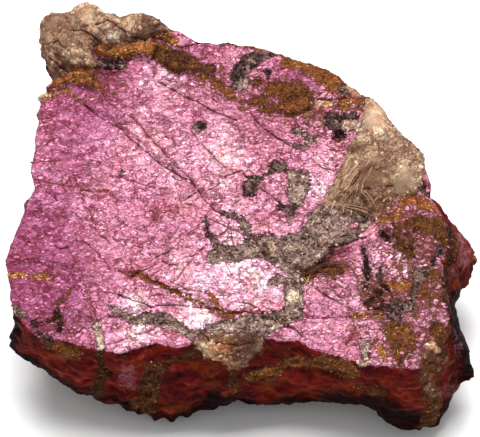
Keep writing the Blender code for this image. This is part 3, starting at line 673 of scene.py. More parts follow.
OCHRE = {
    "rim band": (0.5, [
        (238, 40), (246, 42), (256, 43), (266, 45), (275, 48), (288, 52), (303, 57),
        (318, 62), (330, 67), (340, 70), (348, 80), (342, 91), (332, 92), (324, 86),
        (318, 82), (312, 77), (302, 73), (292, 69), (282, 68), (280, 62), (283, 58),
        (276, 56), (268, 52), (256, 51), (245, 48), (234, 45)]),
    "rim line": (0.2, [
        (190, 34), (200, 39), (215, 40), (230, 39), (240, 41), (240, 47), (229, 44),
        (215, 44), (203, 43), (194, 40)]),
    "upper ledge": (0.6, [
        (93, 44), (102, 41), (112, 42), (130, 41), (140, 39), (150, 39), (156, 39),
        (157, 50), (152, 55), (142, 54), (134, 58), (128, 61), (116, 60), (108, 58),
        (98, 57), (93, 52)]),
    "lower ledge": (0.55, [
        (68, 67), (80, 64), (90, 63), (98, 68), (96, 76), (100, 82), (104, 88), (96, 88),
        (86, 86), (76, 84), (66, 83), (58, 87), (48, 92), (46, 88), (50, 84), (50, 76),
        (58, 72)]),
    "lower ledge, near line": (0.65, [
        (52, 92), (58, 90), (62, 86), (68, 87), (70, 91), (78, 97), (85, 102), (78, 100),
        (68, 94), (60, 94), (54, 98), (44, 101), (46, 97)]),
    "brown granules": (0.26, [
        (152, 43), (160, 42), (166, 44), (172, 48), (180, 50), (190, 54), (196, 60),
        (200, 64), (210, 64), (216, 68), (214, 73), (204, 74), (196, 72), (186, 71),
        (178, 73), (172, 73), (166, 66), (158, 62), (152, 58)]),
    "wedge at the rim": (0.7, [
        (152, 33), (162, 31), (172, 29), (173, 36), (178, 40), (180, 46), (170, 45),
        (160, 40), (152, 38)]),
    "slanting band": (0.5, [
        (197, 70), (206, 74), (214, 74), (218, 80), (226, 88), (234, 92), (238, 98),
        (244, 102), (247, 110), (244, 114), (240, 104), (232, 100), (226, 96), (218, 90),
        (214, 84), (208, 80), (204, 83), (199, 80)]),
    "brown patch": (0.36, [
        (268, 83), (276, 81), (286, 81), (298, 82), (306, 86), (312, 92), (314, 100),
        (312, 108), (304, 113), (296, 116), (286, 115), (278, 112), (268, 115), (262, 114),
        (260, 106), (254, 105), (248, 103), (252, 97), (258, 95), (263, 95), (266, 88)]),
    "brown patch, near edge": (0.5, [(282, 106), (300, 104), (312, 106), (304, 114), (288, 114)]),
    "small brown": (0.25, [(252, 80), (257, 77), (263, 78), (264, 84), (258, 87), (252, 85)]),
    "red chips": (0.62, [(340, 97), (352, 97), (366, 98), (364, 107), (352, 110), (338, 109)]),
    "mosaic, far edge": (0.6, [
        (398, 198), (408, 195), (418, 194), (426, 198), (434, 206), (440, 212), (430, 212),
        (420, 208), (413, 204), (406, 206), (402, 212), (402, 220), (396, 222), (390, 218),
        (386, 222), (376, 221), (370, 219), (380, 216), (390, 214), (393, 208), (400, 205)]),
    "mosaic, right": (0.35, [
        (410, 217), (416, 212), (424, 216), (432, 218), (440, 215), (448, 224), (450, 234),
        (447, 246), (444, 252), (440, 246), (436, 240), (430, 233), (424, 231), (416, 233),
        (410, 230), (404, 224), (408, 218)]),
    "mosaic, ring": (0.25, [
        (392, 222), (400, 226), (404, 232), (410, 232), (414, 240), (413, 250), (416, 256),
        (408, 259), (400, 254), (395, 246), (394, 236), (392, 230)]),
    "mosaic, level band": (0.65, [
        (382, 282), (392, 282), (400, 281), (412, 283), (414, 288), (408, 291), (398, 290),
        (390, 287)]),
    "mosaic, column": (0.4, [
        (428, 268), (436, 270), (440, 276), (436, 282), (430, 284), (428, 289), (432, 295),
        (440, 294), (447, 292), (449, 300), (436, 300), (424, 300), (421, 292), (424, 282)]),
    "mosaic, olive": (0.05, [
        (362, 283), (370, 286), (378, 287), (382, 292), (380, 297), (384, 300), (388, 306),
        (384, 310), (376, 311), (368, 310), (364, 304), (366, 298), (372, 298), (376, 294),
        (370, 290), (364, 289)]),
    "mosaic, near": (0.45, [
        (386, 322), (392, 320), (400, 322), (408, 324), (410, 330), (414, 334), (418, 334),
        (418, 342), (420, 346), (412, 350), (406, 354), (402, 352), (404, 364), (402, 370),
        (398, 366), (394, 356), (390, 346), (387, 336), (384, 328)]),
    "flank, rust": (0.15, [
        (446, 220), (452, 226), (456, 240), (453, 262), (449, 285), (447, 300), (452, 312),
        (447, 316), (442, 300), (443, 280), (447, 262), (449, 244)]),
    "mosaic, edge": (0.35, [
        (430, 322), (440, 324), (450, 328), (449, 338), (448, 350), (440, 352), (436, 340),
        (430, 332)]),
    "level crack": (0.7, [
        (352, 314), (360, 312), (372, 313), (380, 312), (384, 315), (378, 318), (366, 318),
        (352, 318)]),
    "near strip": (0.75, [
        (374, 345), (380, 344), (386, 352), (391, 361), (390, 367), (384, 360), (378, 354)]),
    "under the matrix": (0.35, [
        (300, 268), (310, 266), (319, 262), (330, 262), (344, 266), (346, 274), (336, 277),
        (322, 272), (312, 280), (303, 284)]),
    "left streak": (0.8, [
        (4, 273), (12, 272), (22, 273), (34, 274), (46, 273), (50, 277), (40, 279), (26, 277),
        (16, 279), (5, 279)]),
    "left diagonal": (0.5, [(68, 289), (71, 291), (64, 300), (58, 306), (56, 304), (62, 297)]),
    "olive one": (0.02, [(31, 322), (36, 320), (41, 322), (39, 327), (31, 328)]),
    "olive two": (0.02, [(53, 311), (60, 310), (63, 316), (58, 320), (53, 317)]),
    "olive three": (0.02, [(56, 323), (62, 322), (64, 329), (60, 334), (56, 330)]),
    "olive four": (0.02, [(45, 319), (54, 318), (56, 323), (46, 324)]),
    "reddish crack": (0.42, [
        (130, 272), (142, 272), (152, 278), (163, 284), (176, 290), (188, 295), (202, 302),
        (214, 309), (224, 315), (218, 316), (204, 307), (190, 300), (176, 295), (162, 289),
        (150, 283), (141, 277), (131, 276)]),
    "crack foot": (0.55, [
        (206, 291), (210, 290), (216, 298), (219, 306), (226, 310), (240, 311), (254, 312),
        (254, 314), (240, 315), (226, 320), (218, 312), (213, 303)]),
    "wall, left": (0.5, [
        (40, 341), (50, 342), (60, 343), (72, 346), (82, 352), (80, 358), (66, 357), (50, 351)]),
    "wall, under the upright vein": (0.2, [
        (96, 351), (104, 351), (105, 366), (110, 376), (104, 384), (104, 396), (98, 402),
        (92, 396), (90, 386), (96, 378), (97, 366)]),
    "wall, upright patch": (0.3, [
        (142, 372), (148, 362), (160, 361), (176, 358), (184, 355), (190, 350), (192, 345),
        (199, 349), (200, 356), (192, 359), (182, 361), (172, 364), (165, 369), (161, 380),
        (160, 392), (158, 402), (156, 412), (148, 417), (138, 412), (130, 404), (138, 398),
        (140, 386)]),
    "wall, under the patch": (0.3, [
        (226, 369), (236, 371), (240, 380), (238, 392), (230, 394), (228, 384), (230, 378)]),
    "wall, long streak": (0.55, [
        (242, 378), (250, 372), (262, 368), (276, 364), (290, 357), (300, 356), (312, 359),
        (325, 361), (345, 366), (345, 370), (330, 368), (316, 369), (300, 367), (288, 369),
        (280, 376), (274, 382), (262, 381), (250, 382)]),
    "wall, right streak": (0.5, [
        (300, 358), (330, 354), (345, 360), (362, 368), (360, 378), (350, 380), (335, 374),
        (318, 368)]),
    "wall, right patch": (0.45, [
        (350, 386), (360, 385), (374, 388), (386, 390), (388, 398), (376, 396), (362, 391)]),
    "wall, under the corner": (0.35, [
        (424, 392), (438, 397), (444, 402), (441, 414), (436, 422), (428, 430), (420, 428),
        (422, 416), (428, 406), (420, 400)]),
    "patch over the edge, rusty end": (0.55, [
        (238, 336), (250, 334), (262, 336), (262, 348), (258, 354), (250, 358), (242, 356),
        (236, 350), (232, 342)]),
    "flank": (0.3, [
        (452, 234), (456, 240), (458, 250), (454, 260), (452, 272), (448, 286), (446, 276),
        (448, 262), (452, 250)]),
    "flank tip": (0.45, [(470, 243), (478, 250), (478, 268), (472, 272), (474, 258)]),
}
PINK_ISLANDS = [
    [(267, 97), (274, 96), (280, 98), (279, 104), (270, 105), (266, 101)],
    [(297, 137), (303, 137), (304, 142), (299, 145), (296, 142)],
    [(348, 103), (356, 103), (355, 109), (349, 109)],
    [(374, 301), (379, 300), (382, 304), (377, 307), (374, 305)],
    [(400, 236), (405, 235), (407, 239), (402, 241)],
    [(400, 335), (405, 335), (404, 338), (400, 338)],
    [(403, 342), (410, 342), (409, 346), (404, 346)],
    [(407, 205), (413, 209), (415, 216), (412, 223), (405, 221), (404, 212)],
    [(392, 206), (398, 205), (400, 208), (394, 214), (390, 212)],
    [(350, 222), (358, 222), (358, 229), (351, 229)],
    [(254, 176), (256, 176), (256, 178), (254, 178)],
]
WALL_PINK = [
    [(122, 366), (132, 370), (138, 380), (134, 388), (124, 388), (120, 380)],
    [(446, 386), (458, 385), (457, 395), (448, 397)],
    [(452, 230), (460, 234), (468, 244), (473, 252), (471, 262), (464, 269), (458, 266),
     (459, 254), (457, 244)],
    [(450, 262), (456, 268), (452, 280), (446, 274), (444, 264)],
    [(450, 330), (454, 330), (462, 350), (460, 358), (454, 346)],
]
# Cracks and seams as courses in pixels. Two sets that cross each other are kept apart, because
# each point of the stone knows only the nearest course of a set.
DARK_CRACKS = [
    [(85, 105), (95, 113), (105, 120), (120, 127), (130, 138), (145, 150), (160, 163),
     (180, 176), (192, 183), (199, 190), (205, 200), (217, 211), (223, 214)],
    [(224, 177), (232, 174), (241, 171)],
    [(184, 200), (190, 196)],
    [(160, 82), (170, 88), (184, 96), (200, 103), (212, 110), (222, 114), (236, 120)],
    [(250, 112), (256, 120), (264, 128), (272, 134), (282, 140), (290, 146)],
    [(50, 59), (56, 63), (62, 68), (69, 72)],
    [(151, 36), (162, 40), (172, 44), (180, 47), (190, 46), (198, 43)],
    [(56, 246), (61, 249), (68, 247)],
    [(132, 276), (140, 271), (150, 267), (156, 264)],
    [(156, 257), (168, 252)],
    [(163, 261), (168, 265), (177, 264)],
    [(318, 99), (330, 100), (345, 98)],
    [(330, 248), (345, 245), (357, 240), (366, 237)],
    [(346, 132), (352, 130), (360, 129)],
    [(260, 188), (268, 193), (276, 199), (284, 207)],
    [(244, 174), (247, 178)],
    [(254, 239), (260, 249), (264, 252)],
    [(318, 265), (330, 262), (345, 264)],
    [(306, 276), (318, 272), (330, 274)],
    [(158, 305), (180, 305), (200, 307), (215, 309), (228, 313), (245, 312), (262, 313)],
    [(120, 295), (130, 299), (145, 303), (152, 308)],
    [(280, 322), (284, 326), (294, 328), (302, 336)],
    [(380, 285), (390, 292), (394, 300)],
    [(450, 222), (452, 232), (450, 244)],
    [(444, 262), (450, 268)],
    [(54, 197), (56, 199)],
    [(70, 332), (75, 333), (80, 331)],
    [(110, 316), (117, 318), (121, 316)],
    [(336, 166), (341, 167)],
    [(264, 318), (274, 319), (286, 320), (300, 316)],
    [(360, 173), (356, 182), (350, 188), (362, 189), (380, 187), (392, 186)],
    [(200, 331), (205, 336), (210, 341), (222, 343), (240, 345), (256, 342)],
    [(96, 24), (108, 20), (118, 26), (130, 36), (146, 40)],
    [(72, 30), (84, 31), (92, 35), (100, 42)],
    [(48, 44), (58, 40), (62, 46), (68, 50)],
    [(182, 50), (190, 53), (197, 58)],
    [(204, 392), (212, 390), (220, 392)],
    [(451, 352), (458, 362), (455, 372), (450, 382)],
]
BROWN_SEAMS = [
    [(130, 116), (140, 125), (146, 134), (152, 141), (164, 152), (170, 160), (184, 173),
     (195, 184)],
    [(190, 196), (199, 191), (210, 190), (219, 184)],
    [(190, 128), (199, 141), (208, 150), (217, 160), (227, 168)],
    [(233, 205), (239, 200)],
    [(262, 126), (280, 139), (300, 147), (310, 157), (322, 168), (338, 172)],
    [(32, 179), (40, 180), (50, 183), (60, 184), (68, 186), (78, 186)],
    [(31, 163), (38, 162), (50, 161), (60, 160)],
    [(10, 263), (20, 260), (36, 259), (45, 261), (56, 263), (64, 263)],
    [(72, 172), (76, 182), (82, 190), (83, 205), (90, 210), (92, 220), (96, 230),
     (102, 237), (109, 241)],
    [(84, 190), (96, 192), (110, 190)],
    [(120, 178), (130, 180), (150, 186), (165, 190)],
    [(120, 271), (132, 277), (138, 275)],
    [(142, 274), (150, 280), (160, 285), (172, 290), (185, 297), (198, 306)],
    [(75, 240), (85, 242), (95, 250), (105, 262), (110, 268)],
    [(172, 289), (185, 289), (200, 291), (206, 294), (214, 300), (219, 309)],
    [(104, 292), (120, 295)],
    [(176, 280), (186, 267), (198, 252), (207, 244)],
    [(300, 318), (320, 318), (345, 317), (360, 316)],
    [(318, 290), (330, 298), (340, 303), (356, 313)],
    [(90, 298), (94, 310), (97, 321)],
    [(230, 228), (222, 224), (212, 220)],
    [(230, 228), (222, 234), (214, 236)],
    [(231, 229), (232, 238), (234, 246)],
    [(231, 228), (238, 232), (244, 236)],
    [(231, 227), (228, 220), (226, 215)],
    [(60, 121), (66, 126), (73, 130)],
    [(38, 118), (46, 119), (54, 116)],
    [(72, 268), (76, 262), (71, 252)],
    [(160, 270), (148, 277)],
    [(100, 88), (106, 100), (116, 108)],
    [(68, 92), (76, 98), (88, 106)],
    [(240, 302), (250, 304), (262, 312)],
    [(284, 340), (276, 336), (268, 337)],
    [(345, 345), (352, 338), (356, 326)],
    [(400, 214), (418, 210), (434, 208)],
    [(430, 288), (438, 290), (444, 287)],
    [(206, 246), (196, 254), (184, 258)],
    [(130, 340), (140, 334), (152, 330)],
    [(104, 345), (118, 342), (130, 336)],
    [(345, 150), (336, 151), (328, 149)],
]
# Soft changes over the face: pixel, pixel, radius in pixels and strength. First, where the
# cleavage catches the light or lies in shade.
SHINE = [
    (20, 230, 38, -0.12), (20, 290, 44, -0.15), (60, 270, 34, -0.07), (60, 340, 36, -0.1),
    (60, 110, 40, -0.06), (100, 70, 30, -0.16), (75, 170, 30, -0.04), (165, 140, 34, 0.05),
    (225, 165, 34, 0.16), (240, 270, 30, 0.16), (255, 290, 34, 0.14), (195, 285, 24, 0.16),
    (208, 318, 14, 0.3), (192, 320, 16, 0.2), (135, 305, 13, 0.3), (137, 333, 12, 0.26),
    (120, 345, 14, 0.1), (165, 72, 16, 0.22), (318, 190, 14, 0.22), (285, 285, 18, 0.16),
    (290, 225, 16, 0.1), (330, 155, 14, 0.14), (220, 250, 30, 0.05), (220, 135, 16, 0.14),
    (300, 120, 30, -0.04), (250, 112, 30, -0.12), (290, 74, 26, -0.16), (210, 55, 26, -0.08),
    (345, 345, 24, -0.08), (340, 262, 20, -0.2), (345, 300, 20, 0.1), (430, 310, 20, 0.04),
    (375, 255, 24, 0.12), (400, 265, 14, 0.16), (420, 335, 20, -0.04), (405, 355, 16, 0.02),
    (325, 325, 16, 0.06), (230, 236, 16, 0.16), (272, 190, 12, 0.06), (360, 280, 12, 0.12),
    (110, 85, 22, -0.14), (150, 210, 20, -0.06), (120, 250, 26, -0.06), (170, 225, 22, -0.02),
    (160, 165, 20, 0.08), (270, 200, 26, -0.04), (140, 325, 20, 0.06), (160, 345, 14, -0.05),
]
# Where the pink turns to purple
PURPLE = [
    (18, 240, 50, 1.0), (20, 300, 46, 1.0), (60, 290, 40, 0.6), (50, 120, 40, 0.5),
    (90, 80, 40, 0.7), (70, 165, 36, 0.4), (40, 215, 40, 0.5), (200, 50, 24, 0.6),
    (300, 80, 24, 0.7), (330, 300, 20, 0.3), (100, 115, 30, 0.5), (430, 255, 30, 0.3),
    (60, 345, 30, 0.5),
]
# Where the foil runs in level streaks
STREAKED = [
    (40, 240, 60, 0.9), (60, 180, 50, 0.7), (60, 130, 50, 0.6), (190, 90, 46, 0.9),
    (150, 110, 30, 0.7), (60, 300, 50, 0.7), (250, 130, 36, 0.7), (340, 300, 24, 0.8),
    (215, 300, 30, 0.5),
]
# Where the feldspar is lighter or darker: partly its own tone, partly painted light on the tops of
# the lump and knob and painted shade in their hollows and lower sides
LUMP_TONE_LIGHT_AND_SHADE = [
    (371, 172, 12, -0.3), (360, 184, 13, -0.2), (375, 112, 16, 0.12), (372, 132, 14, 0.14),
    (404, 176, 14, 0.16), (392, 150, 12, -0.1), (340, 192, 16, -0.1), (360, 204, 16, -0.15),
    (384, 202, 16, -0.2), (412, 150, 12, -0.05), (352, 146, 7, -0.3), (86, 12, 18, 0.25),
    (104, 24, 18, 0.15), (52, 24, 12, -0.1), (78, 50, 14, 0.2), (112, 38, 8, 0.35),
    (56, 48, 12, 0.0), (150, 26, 12, -0.2), (130, 24, 10, 0.3), (60, 70, 9, -0.35),
    (212, 349, 13, 0.45), (204, 336, 9, -0.2), (245, 342, 16, -0.35), (230, 360, 12, 0.1),
    (74, 40, 10, -0.15), (164, 27, 6, -0.1),
]
# Feldspar blocks that have broken smooth
SMOOTH_BLOCKS = [
    (375, 113, 10, 1.3), (372, 124, 8, 0.9), (405, 178, 9, 1.3), (400, 186, 7, 0.9),
    (371, 172, 11, 1.3), (362, 180, 9, 1.0), (86, 14, 9, 0.8), (53, 24, 9, 0.7),
]
# Where rust has soaked into the pink and the feldspar
STAIN = [
    (425, 240, 32, 1.0), (400, 235, 24, 0.7), (398, 292, 30, 0.8), (436, 290, 24, 0.8),
    (402, 342, 30, 0.9), (372, 290, 18, 0.7), (330, 265, 22, 0.7), (345, 105, 22, 0.9),
    (318, 120, 16, 0.5), (262, 95, 24, 0.6), (300, 100, 24, 0.6), (220, 80, 20, 0.6),
    (180, 65, 18, 0.6), (100, 84, 20, 0.6), (300, 275, 14, 0.6), (230, 236, 12, 0.3),
    (380, 205, 18, 0.5), (290, 185, 18, 0.3), (335, 150, 14, 0.3), (440, 330, 16, 0.7),
    (370, 330, 14, 0.2), (250, 320, 16, 0.2), (60, 322, 20, 0.3), (210, 300, 12, 0.3),
    (438, 374, 22, 1.0), (222, 352, 20, 1.0),
]
# Where the painted shade at the foot of the wall, nearly black, climbs higher
FOOT_SHADE = [
    (400, 420, 24, 1.2), (420, 426, 16, 0.8), (368, 404, 16, 0.9), (340, 396, 12, 0.5),
    (214, 397, 9, 1.4), (190, 420, 14, 0.4), (458, 302, 14, 0.8), (464, 342, 14, 0.5),
    (472, 366, 12, 0.7), (472, 258, 8, 0.4),
]
OUT_OF_REACH = -30.0
BLEND_DEPTH = 3.0
BLEND_SHARPNESS = 1.5
LEAST_WEIGHT = 1e-12


def painted(pixels, patches):
    """How far inside the nearest patch each pixel lies, and the tone of the patches there."""
    deepest = np.full(len(pixels), OUT_OF_REACH)
    tone = np.zeros(len(pixels))
    weight = np.full(len(pixels), LEAST_WEIGHT)
    for patch_tone, outline in patches.values():
        inside = distance_inside(pixels, outline)
        deepest = np.maximum(deepest, inside)
        share = np.exp(np.clip(inside, OUT_OF_REACH, BLEND_DEPTH) * BLEND_SHARPNESS)
        tone += share * patch_tone
        weight += share
    return deepest, tone / weight


def soft_spots(pixels, spots):
    total = np.zeros(len(pixels))
    for across, down, radius, strength in spots:
        gap = np.hypot(pixels[:, 0] - across, pixels[:, 1] - down)
        total += strength * np.exp(-((gap / radius) ** 2))
    return total


def beside_courses(pixels, courses):
    """Offset from the nearest course, one side of it positive and the other negative."""
    nearest = np.full(len(pixels), np.inf)
    side = np.ones(len(pixels))
    for course in courses:
        course = np.array(course, dtype=float)
        for start, end in zip(course, course[1:]):
            run = end - start
            offset = pixels - start
            share = np.clip(offset @ run / (run @ run), 0.0, 1.0)
            gap = np.linalg.norm(offset - share[:, None] * run, axis=1)
            turn = run[0] * offset[:, 1] - run[1] * offset[:, 0]
            closer = gap < nearest
            nearest = np.where(closer, gap, nearest)
            side = np.where(closer, np.where(turn < 0.0, -1.0, 1.0), side)
    return nearest, side


points, normals = points_and_normals(stone.data)
pixels = seen_at(points)
hidden = out_of_sight(points)

OFF_THE_FACE = -6.0
rim_outline = np.array(RIM_PX)[:, :2]
on_top = np.where(hidden, OFF_THE_FACE, distance_inside(pixels, rim_outline))
grey, grey_tone = painted(pixels, GREY)
tan, tan_tone = painted(pixels, TAN)
ochre, ochre_tone = painted(pixels, OCHRE)
wall_pink = np.full(len(pixels), OUT_OF_REACH)
for outline in WALL_PINK:
    wall_pink = np.maximum(wall_pink, distance_inside(pixels, outline))
for outline in PINK_ISLANDS:
    outside = -distance_inside(pixels, outline)
    grey = np.minimum(grey, outside)
    ochre = np.minimum(ochre, outside)
# The feldspar's tone takes in the soft spots above, with their painted light and shade
tan_tone = np.clip(tan_tone + soft_spots(pixels, LUMP_TONE_LIGHT_AND_SHADE), 0.0, 1.0)

# The hidden sides carry the same minerals in patches of their own. There, too, each patch is a
# distance in pixels: it lies where the noise times its spread is larger than its rarity.
OFF_THE_VEINS = -8.0
FELDSPAR_RUNS_OVER = 7.0 * MM
FAR_FELDSPAR = {"size": 14.0 * MM, "spread": 14.0, "rarity": 8.0, "seed": 12.7}
FAR_PINK = {"size": 8.0 * MM, "spread": 12.0, "rarity": 7.0, "seed": 15.3}
FAR_RUST_SIZE = 11.0 * MM
FAR_RUST_SPREAD = 16.0
FAR_RUST_RARITY = 2.5
FAR_RUST_TONE = 0.24
FAR_RUST_CONTRAST = 0.4
FAR_FOOT = 12.0
FAR_FOOT_SPREAD = 8.0
FAR_STAIN = 0.4
FOOT_START = 13
FOOT_CLIMB = 14.0


def chance_patches(size, spread, rarity, seed):
    return spread * rough(points, size, seed=seed) - rarity


far_rust = rough(points, FAR_RUST_SIZE, seed=9.1)
grey = np.where(hidden, OFF_THE_VEINS, grey)
far_down = hidden & (depth_under_face(points) > FELDSPAR_RUNS_OVER)
tan = np.where(far_down, chance_patches(**FAR_FELDSPAR), tan)
ochre = np.where(hidden, FAR_RUST_SPREAD * far_rust - FAR_RUST_RARITY, ochre)
ochre_tone = np.where(hidden, FAR_RUST_TONE + FAR_RUST_CONTRAST * far_rust, ochre_tone)
wall_pink = np.where(hidden, chance_patches(**FAR_PINK), wall_pink)

crack_gap, crack_side = beside_courses(pixels, DARK_CRACKS)
seam_gap, seam_side = beside_courses(pixels, BROWN_SEAMS)
crack_gap = np.where(hidden, -OUT_OF_REACH, crack_gap)
seam_gap = np.where(hidden, -OUT_OF_REACH, seam_gap)

# Painted shade: the wall turns nearly black near its lowest edge, where it curves under. This is
# the distance in pixels to that edge, made shorter where FOOT_SHADE lets the shade climb higher. On
# the hidden sides the same darkening comes in patches by noise.
low_edge = np.array(LOWER_EDGE_PX, dtype=float)[FOOT_START:, :2]
foot_shade_gap = distance_to_line(pixels, low_edge) - FOOT_CLIMB * soft_spots(pixels, FOOT_SHADE)
foot_shade_gap = np.where(hidden, FAR_FOOT + FAR_FOOT_SPREAD * far_rust, foot_shade_gap)


def inside_share(distance, edge=2.0):
    """0 outside a patch and 1 inside it, with an edge of so many pixels."""
    return smooth_step(distance / edge + 0.5)


def soft_share(spots):
    return np.clip(soft_spots(pixels, spots), 0.0, 1.0)


# Fine relief of each mineral, with heights, depths and sizes in mm: foil-like cleavage on the
# purpurite, level veins, blocky feldspar, crumbly iron oxide and hackly broken sides
top = inside_share(on_top)
feldspar = inside_share(tan)
oxide = inside_share(ochre) * (1.0 - feldspar)
vein = inside_share(grey) * (1.0 - feldspar) * (1.0 - oxide)
side = (1.0 - top) * (1.0 - feldspar)
cleavage = top * (1.0 - feldspar) * (1.0 - oxide) * (1.0 - vein)
smooth_block = np.where(hidden, 0.0, soft_share(SMOOTH_BLOCKS))
SMOOTHED = 0.9
crumbling = feldspar * (1.0 - SMOOTHED * smooth_block)

EVEN = (1.0, 1.0, 1.0)
STREAKS = (0.45, 1.0, 1.0)
CRUSTS = (0.6, 1.0, 1.0)
PLATES = (0.55, 1.0, 1.2)
LAYERS = (0.5, 0.5, 1.0)
VEIN_DEPTH = 0.16
OXIDE_DEPTH = 0.05
CRACK_DEPTH = 0.30
CRACK_REACH_PX = 2.2
SEAM_DEPTH = 0.14
SEAM_REACH_PX = 2.0
RIM_DEPTH = 0.5
RIM_REACH_PX = 3.0
SPOT_SKIN = 0.05 * MM


def lumps(share, height, size, seed, stretch=EVEN, octaves=3):
    return share * height * rough(points * stretch, size * MM, octaves, seed)


def blocks(share, height, size, seed, stretch=EVEN):
    return share * height * chipped(points * stretch, size * MM, seed) / MM


fine = lumps(cleavage, height=0.10, size=1.1, seed=21.0, stretch=STREAKS)
fine += lumps(cleavage, height=0.05, size=0.9, seed=22.0, octaves=2)
fine += vein * (lumps(1.0, height=0.10, size=1.3, seed=23.0) - VEIN_DEPTH)
fine += oxide * (lumps(1.0, height=0.32, size=1.5, seed=24.0, stretch=CRUSTS) - OXIDE_DEPTH)
fine += blocks(oxide, height=0.45, size=2.0, seed=24.5)
fine += lumps(crumbling, height=0.16, size=1.4, seed=25.0)
fine += blocks(crumbling, height=0.9, size=3.0, seed=26.0, stretch=PLATES)
fine += blocks(crumbling, height=0.6, size=1.4, seed=27.0, stretch=PLATES)
fine += lumps(side, height=0.25, size=1.6, seed=28.0, stretch=LAYERS)
fine += blocks(side, height=0.55, size=3.0, seed=29.0)
fine -= CRACK_DEPTH * smooth_step(1.0 - crack_gap / CRACK_REACH_PX)
fine -= SEAM_DEPTH * smooth_step(1.0 - seam_gap / SEAM_REACH_PX) * (1.0 - feldspar)
fine -= RIM_DEPTH * smooth_step(1.0 - np.abs(on_top) / RIM_REACH_PX) * side
fine = np.where(points[:, 2] < SPOT_SKIN, 0.0, fine)
moved = points + normals * (fine * MM)[:, None]
moved[:, 2] = np.maximum(moved[:, 2], 0.0)
stone.data.vertices.foreach_set("co", moved.ravel())
stone.data.update()

NEAR_PX = 4.0


def store(mesh, name, values):
    """Keep one number for each point of the mesh, for the material to read."""
    attribute = mesh.attributes.new(name, "FLOAT", "POINT")
    attribute.data.foreach_set("value", np.asarray(values, dtype=np.float32))


STORED = {
    "on_top": on_top,
    "grey": grey,
    "grey_tone": grey_tone,
    "tan": tan,
    "tan_tone": tan_tone,
    "smooth_block": smooth_block,
    "ochre": ochre,
    "ochre_tone": ochre_tone,
    "wall_pink": wall_pink,
    "crack": crack_side * crack_gap,
    "crack_near": np.clip(1.0 - crack_gap / NEAR_PX, 0.0, 1.0),
    "seam": seam_side * seam_gap,
    "seam_near": np.clip(1.0 - seam_gap / NEAR_PX, 0.0, 1.0),
    "foot_shade_gap": foot_shade_gap,
    "shine": soft_spots(pixels, SHINE),
    "purple": soft_share(PURPLE),
    "streaked": soft_share(STREAKED),
    "stain": np.where(hidden, FAR_STAIN, soft_share(STAIN)),
}
for name, values in STORED.items():
    store(stone.data, name, values)


def srgb(red, green, blue):
    """A colour given as 0 to 255, as a shader takes it."""
    channels = []
    for value in (red, green, blue):
        share = value / 255.0
        channels.append(share / 12.92 if share <= 0.04045 else ((share + 0.055) / 1.055) ** 2.4)
    return (*channels, 1.0)


class Recipe:
    """Adds nodes to a tree in one line each. An input takes a value or another node's output."""

    def __init__(self, tree):
        self.tree = tree

    def add(self, kind, inputs, output=0, **settings):
        node = self.tree.nodes.new(kind)
        for name, value in settings.items():
            setattr(node, name, value)
        for key, value in inputs.items():
            if isinstance(value, bpy.types.NodeSocket):
                self.tree.links.new(value, node.inputs[key])
            else:
                node.inputs[key].default_value = value
        return node.outputs[output]

    def stored(self, name):
        return self.add("ShaderNodeAttribute", {}, "Fac", attribute_name=name)

    def math(self, operation, first, second=0.0, third=0.0, clamp=False):
        inputs = {0: first, 1: second, 2: third}
        return self.add("ShaderNodeMath", inputs, operation=operation, use_clamp=clamp)

    def product(self, first, second):
        return self.math("MULTIPLY", first, second)

    def largest(self, first, *others):
        for other in others:
            first = self.math("MAXIMUM", first, other)
        return first

    def without(self, share):
        return self.math("SUBTRACT", 1.0, share)

    def varied(self, base, pattern, amount, clamp=False):
        """A number that a pattern from 0 to 1 raises and lowers by up to half the amount."""
        centred = self.math("SUBTRACT", pattern, 0.5)
        return self.math("MULTIPLY_ADD", centred, amount, base, clamp)

    def between(self, share, first, second):
        inputs = {0: share, 2: first, 3: second}
        return self.add("ShaderNodeMix", inputs, data_type="FLOAT")

    def step(self, value, low, high, start=0.0, end=1.0):
        """A smooth change from start to end as the value runs from low to high."""
        inputs = {0: value, 1: low, 2: high, 3: start, 4: end}
        return self.add("ShaderNodeMapRange", inputs, interpolation_type="SMOOTHSTEP")

    def blend(self, share, colour, over, mode="MIX"):
        inputs = {0: share, 6: colour, 7: over}
        return self.add("ShaderNodeMix", inputs, 2, data_type="RGBA", blend_type=mode)

    def group(self, tree, inputs, output=0):
        return self.add("ShaderNodeGroup", inputs, output, node_tree=tree)

    def scaled(self, place, factors):
        inputs = {0: place, 1: factors}
        return self.add("ShaderNodeVectorMath", inputs, operation="MULTIPLY")

    def noise(self, place, scale, detail=2.0, roughness=0.55, output="Fac"):
        inputs = {"Vector": place, "Scale": scale, "Detail": detail, "Roughness": roughness}
        return self.add("ShaderNodeTexNoise", inputs, output)

    def strong_noise(self, place, scale, detail=3.0, roughness=0.65, spread=0.2):
        """Noise stretched so that it runs from about 0 to 1, with 0.5 in the middle."""
        return self.varied(0.5, self.noise(place, scale, detail, roughness), 0.5 / spread)

    def contour(self, pattern, thin, wide, strength=1.0, middle=0.5):
        """Hairlines where a pattern crosses its middle, with half widths in the pattern's units."""
        gap = self.math("ABSOLUTE", self.math("SUBTRACT", pattern, middle))
        return self.step(gap, thin, wide, strength, 0.0)

    def cell_tones(self, place, scale, channel=0):
        """A number from 0 to 1 by chance for each cell."""
        cells = self.add("ShaderNodeTexVoronoi", {"Vector": place, "Scale": scale}, "Color")
        return self.add("ShaderNodeSeparateColor", {0: cells}, channel)

    def cell_edges(self, place, scale):
        """Distance to the edge between two cells."""
        inputs = {"Vector": place, "Scale": scale}
        return self.add(
            "ShaderNodeTexVoronoi", inputs, "Distance", feature="DISTANCE_TO_EDGE")

    def tones(self, value, *stops):
        """A colour ramp through the stops, each a place from 0 to 1 and a colour."""
        node = self.tree.nodes.new("ShaderNodeValToRGB")
        ramp = node.color_ramp
        while len(ramp.elements) < len(stops):
            ramp.elements.new(0.5)
        for element, (place, colour) in zip(ramp.elements, stops):
            element.position = place
            element.color = colour
        self.tree.links.new(value, node.inputs[0])
        return node.outputs[0]


